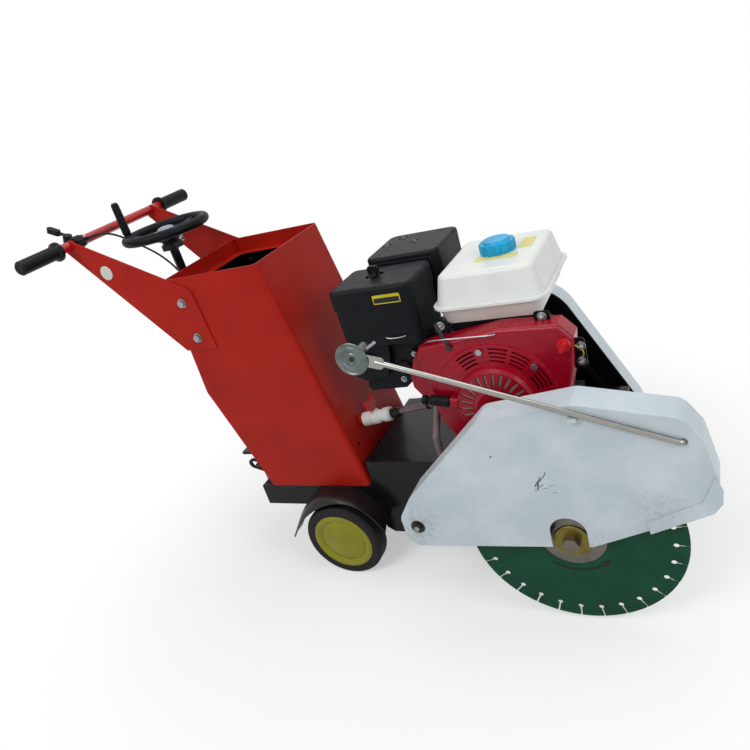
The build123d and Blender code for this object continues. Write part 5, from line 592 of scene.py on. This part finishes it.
class SAW_OT_finishes(bpy.types.Operator):
    """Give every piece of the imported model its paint, rubber, plastic or metal"""
    bl_idname = "saw.finishes"
    bl_label = "Finishes"

    def execute(self, context):
        for maker, looks in KINDS:
            for name, (colours, settings) in looks.items():
                maker(name, *colours, **settings)
        for finish, names in FINISHES.items():
            for name in names:
                mesh = NODES[name].data
                mesh.materials.clear()
                mesh.materials.append(MATERIALS[finish])
        return {"FINISHED"}


class SAW_OT_cables(bpy.types.Operator):
    """Add the throttle cable and the water hose with its sleeves"""
    bl_idname = "saw.cables"
    bl_label = "Cable and hose"

    THROTTLE_ROUTE = (
        (-609, -106, 916), (-609, -70, 916), (-601, -28, 900), (-572, 0, 861), (-528, 12, 822),
        (-492, 15, 774), (-475, 17, 712), (-472, 18, 640), (-466, 24, 570), (-456, 46, 510),
        (-446, 88, 460), (-428, 136, 418), (-376, 162, 386), (-308, 155, 372), (-242, 151, 380),
        (-176, 152, 392), (-112, 158, 412), (-56, 142, 438), (-16, 102, 466), (10, 54, 500),
        (38, 8, 532), (38, -36, 532))
    HOSE_ROUTE = ((12.8, -57, 375.4), (67.0, -57, 384.7), (137.2, -96.9, 416.0))
    HOSE_END, HOSE_END_OUT = (126, -90.5, 411), (0.81, -0.46, 0.362)

    def execute(self, context):
        sizes = context.scene.saw_fittings
        cable = nurbs_cord("throttle_cable_run", self.THROTTLE_ROUTE, sizes.cable_diameter, "cable_sheath")
        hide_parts("throttle_cable")
        hose = nurbs_cord("water_hose_run", self.HOSE_ROUTE, sizes.hose_diameter, "hose_rubber")
        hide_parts("water_hose")
        sleeve = revolved(((10.4, 0), (11.4, 1.5), (11.4, 16), (9.6, 18), (9.6, 24), (8.0, 26), (6.2, 26.3)),
                          self.HOSE_ROUTE[0], TANK_OUT, 36)
        ferrule = revolved(((8.0, 0), (9.2, 1.5), (9.2, 13), (8.6, 15)), self.HOSE_END, self.HOSE_END_OUT, 32)
        make_piece("hose_sleeves", [sleeve, ferrule], "cable_sheath")
        return {"FINISHED"}


class SAW_OT_starter_cord(bpy.types.Operator):
    """Add the starter cord, a straight length from the cover along the pull"""
    bl_idname = "saw.starter_cord"
    bl_label = "Starter cord"

    PULL = np.array((-0.99027, 0.0, 0.13917))
    START, END = 62.0, 100.0            # distance from the crankshaft along the pull
    HELD, PULLED = 66.0, 92.0           # the grip's held and pulled distances from the crankshaft

    def execute(self, context):
        crank = np.array((CRANK_X, -166.0, CRANK_Z))
        line = crank + np.linspace(self.START, self.END, 24)[:, None] * self.PULL
        radius = context.scene.saw_fittings.cord_diameter / MM / 2
        rope = make_piece("starter_rope", [swept(line, radius)], "braided_cord", None)
        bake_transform(rope)
        return {"FINISHED"}


class SAW_OT_labels(bpy.types.Operator):
    """Add the bare plates on the air cleaner and the fuel tank, and the handle plate's plug"""
    bl_idname = "saw.labels"
    bl_label = "Bare plates"

    LID_DROP = 9.0                      # from the filler neck's top to the fuel tank's flat top

    def execute(self, context):
        near = box_mm("air_cleaner")[0].y
        top = box_mm("fuel_tank")[2].z - self.LID_DROP + 0.05
        side = box_mm("handle_plates")[0].y
        along = (0, 1, 0)
        plate = rounded_slab((122, near - 0.1, 681), ACROSS, UP, 60, 19, 0.4, 2)
        field = rounded_slab((122, near - 0.5, 679), ACROSS, UP, 56, 10.5, 0.2, 1)
        make_piece("air_cleaner_plate", [plate], "yellow_vinyl")
        make_piece("air_cleaner_plate_field", [field], "black_ink")
        long_plate = rounded_slab((322, -27, top), ACROSS, along, 86, 27, 0.35, 2)
        short_plate = rounded_slab((371, 40, top), ACROSS, along, 26, 62, 0.35, 2)
        make_piece("fuel_plate_long", [long_plate], "label_vinyl")
        make_piece("fuel_plate_short", [short_plate], "label_vinyl")
        plug = revolved(((17, 0), (17, 1.2), (15.5, 2.2), (9, 2.8), (0, 3.0)), (-550, side, 837), OUT)
        make_piece("handle_plate_cap", [plug], "pale_cap")
        return {"FINISHED"}


class SAW_OT_handle_fittings(bpy.types.Operator):
    """Add the ring beside the lever's clamp and the bolt inside the far handle plate"""
    bl_idname = "saw.handle_fittings"
    bl_label = "Handle fittings"

    def execute(self, context):
        ring = flat_ring(11.1, 13.6, 5, (-627, -104.5, 913), (0, 1, 0), 48)
        bolt = hex_bolt((-558, 145.5, 826), OUT, 10, 6, 8)
        make_piece("clamp_ring", [ring, *bolt], "bright_zinc")
        return {"FINISHED"}


class SAW_OT_governor(bpy.types.Operator):
    """Add the governor rod, the bracket below the carburettor, its bolts and the choke link"""
    bl_idname = "saw.governor"
    bl_label = "Governor and choke"

    BRACKET = ((34, 574), (20, 530), (2, 474), (8, 462), (94, 464), (112, 478), (140, 503), (160, 514),
               (160, 576))

    def execute(self, context):
        radius = context.scene.saw_fittings.rod_diameter / MM / 2
        rod = spline(((170, -118, 566), (184, -152, 588), (214, -164, 595), (250, -164, 594),
                      (290, -158, 591), (328, -157, 590), (330, -152, 590)), 60)
        make_piece("governor_rod", [swept(rod, radius)], "bright_zinc")
        link = spline(((98, -136.8, 600), (101, -136.8, 596), (133, -136.8, 596.5), (143, -136.8, 600)), 32)
        make_piece("choke_link", [swept(link, 1.3)], "bright_zinc")
        bracket = outline_plate(self.BRACKET, -100.5, 3.5)
        bowl = revolved(((17, 0), (17, 12), (15, 15), (5, 16), (4.5, 21), (0, 21.5)), (104, -92, 512), OUT)
        pivot = revolved(((9, 0), (9, 9), (7.5, 10), (0, 10)), (136, -100, 545), OUT, 24)
        make_piece("governor_bracket", [bracket, bowl, pivot], "black_abs")
        bolts = hex_bolt((92, -100.5, 484), OUT, 8, 4.5, 7) + hex_bolt((136, -110, 545), OUT, 7, 3.5, 6)
        make_piece("governor_bolts", bolts, "bright_zinc")
        return {"FINISHED"}


class SAW_OT_engine_fittings(bpy.types.Operator):
    """Add the switch lead, the muffler's strap and bolts, the tank brackets and the wing nut"""
    bl_idname = "saw.engine_fittings"
    bl_label = "Engine fittings"

    MUFFLER_BOLTS = ((39.0, 100.0), (105.0, 103.0), (62.0, 145.0))
    TANK_BRACKETS = ((213, 603), (414, 600))
    SWITCH_BRACKET = (472, -127, 526)
    SWITCH_BOLTS = ((477, 541), (474, 510))

    def execute(self, context):
        lead = spline(((468, -140, 548), (478, -138, 540), (483, -134, 528), (476, -130, 516),
                       (466, -128, 508), (462, -120, 500), (458, -108, 498)), 60)
        make_piece("switch_wire", [swept(lead, 1.4, across=(0, 1, 0))], "yellow_wire")

        top = box_mm("muffler")[2].z - 1.5
        bolts = [shape for x, y in self.MUFFLER_BOLTS for shape in hex_bolt((x, y, top), UP, 7, 3.4, 6)]
        make_piece("muffler_bolts", bolts, "flange_steel")
        strap = rounded_slab((100, 3.0, 694), (-1, 0, 0), UP, 150, 34, 8.2, 6)
        make_piece("muffler_strap", [strap], "muffler_enamel")

        brackets = [rounded_slab((x, -117.2, z), ACROSS, UP, 30, 26, 2.4, 5) for x, z in self.TANK_BRACKETS]
        brackets.append(rounded_slab(self.SWITCH_BRACKET, ACROSS, UP, 26, 62, 3, 7))
        bolts = []
        for x, z in self.TANK_BRACKETS:
            bolts += hex_bolt((x, -119.6, z + 2), OUT, 10, 5.5, 9)
        for x, z in self.SWITCH_BOLTS:
            bolts += hex_bolt((x, -130, z), OUT, 10, 7, 9)
        make_piece("tank_brackets", brackets, "black_abs")
        make_piece("bracket_bolts", bolts, "bright_zinc")

        x, y, _ = box_mm("air_cleaner_knob")[1]
        seat = box_mm("air_cleaner")[2].z
        foot = revolved(((12, 0), (12, 1.6), (7.5, 3.6), (6.2, 6), (5.6, 12), (0, 12)),
                        (x, y, seat - 0.4), UP)
        wing = rounded_slab((x, y + 3.6, seat + 12), ACROSS, UP, 24, 18, 7.2, 5.5)
        nut = make_piece("air_cleaner_wing_nut", [foot, wing], "black_abs", "air_knob")
        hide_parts("air_cleaner_knob")
        return {"FINISHED"}


class SAW_OT_housing_fittings(bpy.types.Operator):
    """Add a pale disc of painted light behind the starter's slots, dark sheets of painted shade behind the
    louvres, and the housing's flank
    """
    bl_idname = "saw.housing_fittings"
    bl_label = "Housing fittings"

    # outline of a dark plate under the fuel tank, behind the upper louvres: painted shade
    SHADE_PLATE = ((228, 540), (404, 540), (404, 597), (228, 597))
    FLANK = ((156, 566), (133, 534), (118, 497), (118, 471), (135, 446), (150, 431), (181, 428), (212, 552))

    def execute(self, context):
        # painted light: a pale disc behind the starter's slots stands in for light showing through them
        slot_light = flat_ring(36, 74, 1.2, (CRANK_X, -168.6, CRANK_Z), OUT)
        make_piece("slot_light_disc", [slot_light], "painted_slot_light", "crank_drive")
        # painted shade: a dark ring and a dark plate behind the louvres stand in for the shade inside the
        # housing
        shade_ring = flat_ring(89, 128, 1.5, (CRANK_X, -146.5, CRANK_Z), OUT)
        make_piece("louvre_shade_sheets", [shade_ring, outline_plate(self.SHADE_PLATE, -96.0, 2.5)], "black_abs")
        make_piece("housing_flank", [outline_plate(self.FLANK, -117.0, 3.0)], "housing_enamel")
        return {"FINISHED"}


class SAW_OT_blade_marks(bpy.types.Operator):
    """Add the arrow that shows which way the blade turns, and the arbor's washer"""
    bl_idname = "saw.blade_marks"
    bl_label = "Blade arrow and washer"

    ARROW_R, ARROW_FROM, ARROW_TO = 82.0, 232.0, 318.0      # radius in millimetres, degrees
    STEPS, TIP_STEPS = 40, 6
    HALF_LINE, HALF_BARB, HALF_TIP = 2.2, 7.5, 1.8077

    def execute(self, context):
        """The arrow is an arc whose half width is even and then runs out in a barb."""
        low, middle, _ = box_mm("blade")
        angle = np.radians(np.linspace(self.ARROW_FROM, self.ARROW_TO, self.STEPS))[:, None]
        half = np.full(self.STEPS, self.HALF_LINE)
        half[-self.TIP_STEPS:] = np.linspace(self.HALF_BARB, self.HALF_TIP, self.TIP_STEPS)
        radius = self.ARROW_R + half[:, None] * np.array((-1, 1, 1, -1))
        y = np.broadcast_to(low.y - np.array((0.05, 0.05, 0.3, 0.3)), radius.shape)
        sheet = np.stack([middle.x + radius * np.cos(angle), y, middle.z + radius * np.sin(angle)], -1)
        arrow = grid_shape(sheet, wrap=(False, True), caps=(True, True))
        make_piece("turn_arrow", [arrow], "black_ink", "blade_drive")
        face = box_mm("outer_flange")[0].y
        washer = revolved(((34.5, 0.2), (35, 0.7), (35, 2.6), (34, 3.4), (20, 3.6), (0, 3.6)),
                          (middle.x, face, middle.z), OUT, 48)
        make_piece("arbor_washer", [washer], "yellow_zinc", "blade_drive")
        return {"FINISHED"}


class SAW_OT_guide_wheel(bpy.types.Operator):
    """Add the dished guide wheel in place of the plain disc, its clamp's tail and the rod's sleeve"""
    bl_idname = "saw.guide_wheel"
    bl_label = "Guide wheel and rod"

    WHEEL_R, PRESSED = 32.5, 2.5        # the wheel's radius and the depth of its pressing
    STUB_R, COLLAR_R, COLLAR_AT = 6, 9, 10.6    # the axle's stub, and its collar behind the wheel
    ROD_RUN, SLEEVE_R = ((156.0, -307.3, 626.9), (633.0, -307.3, 446.3)), 5.12

    def execute(self, context):
        low, middle, high = box_mm("guide_disc")
        plate = low.y + self.PRESSED
        back = plate - high.y
        rim = self.WHEEL_R
        profile = ((0, back), (8, back), (self.COLLAR_R, back + 1), (self.COLLAR_R, -self.COLLAR_AT),
                   (self.STUB_R, -self.COLLAR_AT), (self.STUB_R, 0), (rim - 0.6, 0), (rim, 0.6), (rim, 1.9),
                   (rim - 0.8, 2.5), (rim - 2.5, 2.5), (rim - 4, 1.2), (23.5, 0.9), (22.5, 1.9), (19, 1.9),
                   (18, 0.4), (12, 0.4), (10.5, 1.6), (8, 1.6), (7.5, 1.1), (0, 1.1))
        at = (middle.x, plate, middle.z)
        wheel = make_piece("guide_wheel", [revolved(profile, at, OUT, 72)], "clear_zinc", "disc")
        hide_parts("guide_disc")
        head = revolved(((5.6, 0.9), (5.6, 2.1), (4.9, 2.5), (0, 2.5)), at, OUT, 6)
        make_piece("guide_wheel_bolt", [head], "oiled_steel", "disc", 20)
        tail = spline(((112, -304, 634), (130, -303, 645), (150, -302, 656), (163, -302, 663)), 24)
        make_piece("guide_clamp_tail", [swept(tail, 3.2)], "bright_zinc", "rod")
        line = np.linspace(*self.ROD_RUN, 12)
        make_piece("guide_rod_sleeve", [swept(line, self.SLEEVE_R, sides=32)], "drawn_rod", "rod")
        return {"FINISHED"}


class SAW_OT_hub_caps(bpy.types.Operator):
    """Add the pressed caps over the ends of the rear axle and the hand wheel's cap"""
    bl_idname = "saw.hub_caps"
    bl_label = "Caps"

    WEB_IN = 5.6                        # from the hub's rim in to its web
    WHEEL_HUB_TOP = 874.0               # Z of the hand wheel's hub

    def execute(self, context):
        for side, sign, corner in (("right", -1, 0), ("left", 1, 2)):
            hub = box_mm(f"rear_hub_{side}")
            web = hub[corner].y - sign * self.WEB_IN
            end = abs(box_mm("rear_axle")[corner].y - web)
            dome = ((59, -0.6), (58, 0.4), (50, 2.4), (36, end * 0.72), (20, end * 0.98), (11, end + 0.7),
                    (4.2, end + 0.8), (3.4, end + 2.0), (0, end + 2.4))
            cap = revolved(dome, (hub[1].x, web, hub[1].z), (0, sign, 0), 72)
            make_piece(f"hub_cap_{side}", [cap], "hub_enamel", f"rear_{side}")
        dome = ((22, -1.0), (22.5, 1.0), (21.5, 6.0), (18, 10.5), (11, 13.0), (0, 14.0))
        cap = revolved(dome, (box_mm("handwheel")[1].x, 0.0, self.WHEEL_HUB_TOP), UP)
        make_piece("handwheel_cap", [cap], "blue_grey_cap", "hand_wheel")
        return {"FINISHED"}


class SAW_OT_mudguards(bpy.types.Operator):
    """Add the pressed mudguards with their rolled edge and tail in place of the plain bands"""
    bl_idname = "saw.mudguards"
    bl_label = "Mudguards"

    CROWN = ((-22, 152), (-35, 178), (-58, 204), (-88, 223), (-118, 232.5), (-148, 235), (-178, 229.5),
             (-206, 215), (-228, 198), (-246, 178), (-261, 155), (-275, 130), (-291, 108))
    EDGE = ((-16, 138), (-33, 172), (-54, 199), (-80, 216), (-112, 222), (-137, 220), (-157, 214.5),
            (-177, 207), (-196, 197), (-221, 181), (-243, 163), (-262, 141), (-281, 112))
    INNER_Y, WIDTH, SHEET = 146, 54, 2.5
    ROLL_FROM, ROLL_IN = 0.45, 30       # where the edge starts to roll, and how far it leans in
    AXLE = (-146.0, 0.0, 100.0)

    def execute(self, context):
        """Lines run from the crown c at the side plate to the edge e: c + (e - c)(1 - sqrt(1 - s^2)).

        s is 0 up to ROLL_FROM and 1 at the edge, and the inner skin lies one sheet nearer the axle.
        """
        crown, edge = spline(self.CROWN, 72), spline(self.EDGE, 72)
        across = np.linspace(0, 1, 15)
        drop = 1 - np.sqrt(1 - np.clip((across - self.ROLL_FROM) / (1 - self.ROLL_FROM), 0, 1) ** 2)
        flat = crown[:, None] + drop[None, :, None] * (edge - crown)[:, None]
        shapes = []
        for sign in (-1, 1):
            y = np.broadcast_to(sign * (self.INNER_Y + self.WIDTH * across), flat.shape[:2])
            outer = np.stack([flat[..., 0], y, flat[..., 1]], -1)
            inward = np.array(self.AXLE) - outer
            inward[..., 1] = -sign * self.ROLL_IN * drop
            inward /= np.linalg.norm(inward, axis=2)[..., None]
            section = np.concatenate([outer, (outer + self.SHEET * inward)[:, ::-1]], 1)
            shapes.append(grid_shape(section, wrap=(False, True), caps=(True, True)))
        piece = make_piece("rear_mudguards", shapes, "mudguard_enamel", "root", 40)
        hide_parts("mudguards")
        return {"FINISHED"}


class SAW_OT_tank_drain(bpy.types.Operator):
    """Add the drain at the foot of the water tank, its hole dark with painted shade"""
    bl_idname = "saw.tank_drain"
    bl_label = "Tank drain"

    def execute(self, context):
        # painted shade: the dark disc stands in for the drain's open hole
        drain = revolved(((7.5, -1.0), (7.5, 0.4), (6.2, 0.9), (5.6, 0.3), (0, 0.3)),
                         (-58.7, -36, 283), TANK_OUT, 32)
        make_piece("tank_drain", [drain], "drain_hole_shade")
        return {"FINISHED"}


class SAW_OT_guard_marks(bpy.types.Operator):
    """Add the scratches on the blade guard, the mark round the rod's eye and the pivot's nut"""
    bl_idname = "saw.guard_marks"
    bl_label = "Guard marks"

    # x, z, length and turn in degrees, width
    SCRATCHES = (
        (397, 356, 16, 60, 1.9), (402, 361, 22, 66, 2.4), (408, 366, 14, 55, 1.4), (415, 376, 13, 66, 1.6),
        (399, 348, 14, 74, 2.6), (406, 352, 9, 40, 1.6), (412, 346, 12, 12, 0.8), (394, 342, 8, 80, 1.2),
        (424, 352, 8, 22, 0.7), (324, 416, 6, 40, 2.2), (428, 337, 8, -8, 0.6))

    def execute(self, context):
        marks = []
        for x, z, length, degrees, wide in self.SCRATCHES:
            cos, sin = math.cos(math.radians(degrees)), math.sin(math.radians(degrees))
            marks.append(rounded_slab((x, GUARD_FACE + 0.2, z), (cos, 0, sin), (-sin, 0, cos),
                                      length, wide, 0.35, wide / 2.1, 3))
        marks.append(revolved(((6.5, -0.2), (6.5, 0.25), (0, 0.25)), (647, GUARD_FACE, 440), OUT, 28))
        make_piece("guard_scuffs", marks, "scuffed_primer", "guard")
        nut = revolved(((6.4, 0), (6.4, 2.6), (5.6, 3.2), (0, 3.2)), (134, -308.7, 247), OUT, 6, 0.3)
        make_piece("guard_pivot_nut", [nut], "bright_zinc", "root", 20)
        return {"FINISHED"}


# ---- stage

class SAW_OT_stage(bpy.types.Operator):
    """Add the floor, the lamps, the world and the camera"""
    bl_idname = "saw.stage"
    bl_label = "Stage"

    CAMERA_AT = mm(731.176, -1299.759, 1094.112)
    CAMERA_RIGHT = Vector((0.88546847, 0.37664653, -0.27218189))
    CAMERA_DOWN = Vector((-0.05107322, -0.50328967, -0.86260711))
    CAMERA_AHEAD = Vector((-0.46188431, 0.77771261, -0.42641059))
    FOCAL_PX = 691.9736
    CENTRE_PX = (380.183, 399.690)
    FRAME_PX = 750.0
    SENSOR = 36.0
    # name, place and width in metres, share of the lamp power
    LAMPS = (("key_lamp", (-0.6, -2.2, 2.6), 1.6, 1.0), ("front_lamp", (2.4, -1.0, 1.9), 1.4, 0.5),
             ("top_lamp", (0.2, 0.6, 2.9), 2.2, 0.6))
    LAMP_AIM = (0.0, 0.0, 0.45)

    def add_camera(self, context):
        data = bpy.data.cameras.new("camera")
        data.sensor_width = self.SENSOR
        data.lens = self.SENSOR * self.FOCAL_PX / self.FRAME_PX
        data.shift_x = (self.FRAME_PX / 2 - self.CENTRE_PX[0]) / self.FRAME_PX
        data.shift_y = (self.CENTRE_PX[1] - self.FRAME_PX / 2) / self.FRAME_PX
        camera = bpy.data.objects.new("camera", data)
        context.scene.collection.objects.link(camera)
        turn = Matrix((self.CAMERA_RIGHT, -self.CAMERA_DOWN, -self.CAMERA_AHEAD)).transposed()
        camera.matrix_world = Matrix.Translation(self.CAMERA_AT) @ turn.to_4x4()
        context.scene.camera = camera

    def add_lamp(self, context, name, at, size, power):
        data = bpy.data.lights.new(name, "AREA")
        data.shape, data.size, data.energy = "DISK", size, power
        lamp = bpy.data.objects.new(name, data)
        context.scene.collection.objects.link(lamp)
        lamp.location = at
        lamp.rotation_euler = (Vector(self.LAMP_AIM) - Vector(at)).to_track_quat("-Z", "Y").to_euler()

    def looked_at(self, tree):
        """1 for rays from the camera and from a mirror, else 0."""
        rays = add_node(tree, "LightPath").outputs
        return add_node(tree, "Math", links={0: rays["Is Camera Ray"], 1: rays["Is Glossy Ray"]},
                        operation="MAXIMUM")

    def add_floor(self, colour):
        """A flat disc: x = r cos a, y = r sin a, z = 0, matt near the saw and even white far off."""
        radius = np.array((0.01, 1.0, 3.0, 9.0, 30.0, 90.0)) / MM
        angle = np.linspace(0, 2 * math.pi, 64, endpoint=False)
        r, a = np.meshgrid(radius, angle, indexing="ij")
        points = np.stack([r * np.cos(a), r * np.sin(a), np.zeros_like(r)], -1)
        tree, place = new_material("floor_paper")
        cloud = add_node(tree, "TexNoise", blotches(200, 4), {"Vector": place})
        tone = add_node(tree, "ValToRGB", links={"Fac": cloud},
                        stops=((0.3, (*[c * 0.99 for c in colour], 1)), (0.7, (*colour, 1))))
        paper = add_node(tree, "BsdfDiffuse", {"Roughness": 0.9}, {"Color": tone})
        white = add_node(tree, "Emission", {"Color": WHITE, "Strength": 1})
        reach = add_node(tree, "VectorMath", links={0: place}, operation="LENGTH")
        far = add_node(tree, "MapRange", span(0.4, 1.15, 0.45, 1.0), {"Value": reach.outputs["Value"]},
                       interpolation_type="SMOOTHSTEP")
        seen = add_node(tree, "Math", links={0: far, 1: self.looked_at(tree)}, operation="MULTIPLY")
        mixed = add_node(tree, "MixShader", links={"Fac": seen, 1: paper, 2: white})
        add_node(tree, "OutputMaterial", links={"Surface": mixed})
        disc = grid_shape(points, wrap=(False, True), caps=(True, False))
        make_piece("floor", [disc], "floor_paper", None)

    def execute(self, context):
        """A studio: the world lights softly and looks white, three disc lamps and a paper floor."""
        settings = context.scene.saw_stage
        context.scene.view_settings.view_transform = "Standard"
        world = bpy.data.worlds.new("studio")
        context.scene.world = world
        world.use_nodes = True
        tree = world.node_tree
        tree.nodes.clear()
        glow = add_node(tree, "Background", {"Color": linear("#EEF2F6"), "Strength": 0.42})
        wall = add_node(tree, "Background", {"Color": WHITE, "Strength": 1})
        through = add_node(tree, "LightPath").outputs["Is Transmission Ray"]
        seen = add_node(tree, "Math", links={0: self.looked_at(tree), 1: through}, operation="MAXIMUM")
        mixed = add_node(tree, "MixShader", links={"Fac": seen, 1: glow, 2: wall})
        add_node(tree, "OutputWorld", links={"Surface": mixed})
        self.add_camera(context)
        for name, at, size, share in self.LAMPS:
            self.add_lamp(context, name, at, size, settings.lamp_power * share)
        self.add_floor(settings.floor_colour)
        return {"FINISHED"}


# ---- panel and run

class SAW_PT_panel(bpy.types.Panel):
    """Buttons that build the saw's finishes, fittings and stage, and their sizes and colours"""
    bl_idname = "SAW_PT_panel"
    bl_label = "Concrete Saw"
    bl_space_type = "VIEW_3D"
    bl_region_type = "UI"
    bl_category = "Saw"

    def draw(self, context):
        layout = self.layout
        for settings in (context.scene.saw_fittings, context.scene.saw_stage):
            for name in settings.__annotations__:
                layout.prop(settings, name)
        for operator in OPERATORS:
            layout.operator(operator.bl_idname)


OPERATORS = (SAW_OT_finishes, SAW_OT_cables, SAW_OT_starter_cord, SAW_OT_labels, SAW_OT_handle_fittings,
             SAW_OT_governor, SAW_OT_engine_fittings, SAW_OT_housing_fittings, SAW_OT_blade_marks,
             SAW_OT_guide_wheel, SAW_OT_hub_caps, SAW_OT_mudguards, SAW_OT_tank_drain, SAW_OT_guard_marks,
             SAW_OT_stage)
CLASSES = (SawStageSettings, SawFittingSettings, *OPERATORS, SAW_PT_panel)


def register():
    for cls in CLASSES:
        bpy.utils.register_class(cls)
    bpy.types.Scene.saw_stage = PointerProperty(type=SawStageSettings)
    bpy.types.Scene.saw_fittings = PointerProperty(type=SawFittingSettings)


def unregister():
    del bpy.types.Scene.saw_stage
    del bpy.types.Scene.saw_fittings
    for cls in reversed(CLASSES):
        bpy.utils.unregister_class(cls)


def main():
    """Build the saw's finishes and fittings in order."""
    register()
    for operator in OPERATORS:
        getattr(bpy.ops.saw, operator.bl_idname.removeprefix("saw."))()


if __name__ == "__main__":
    main()
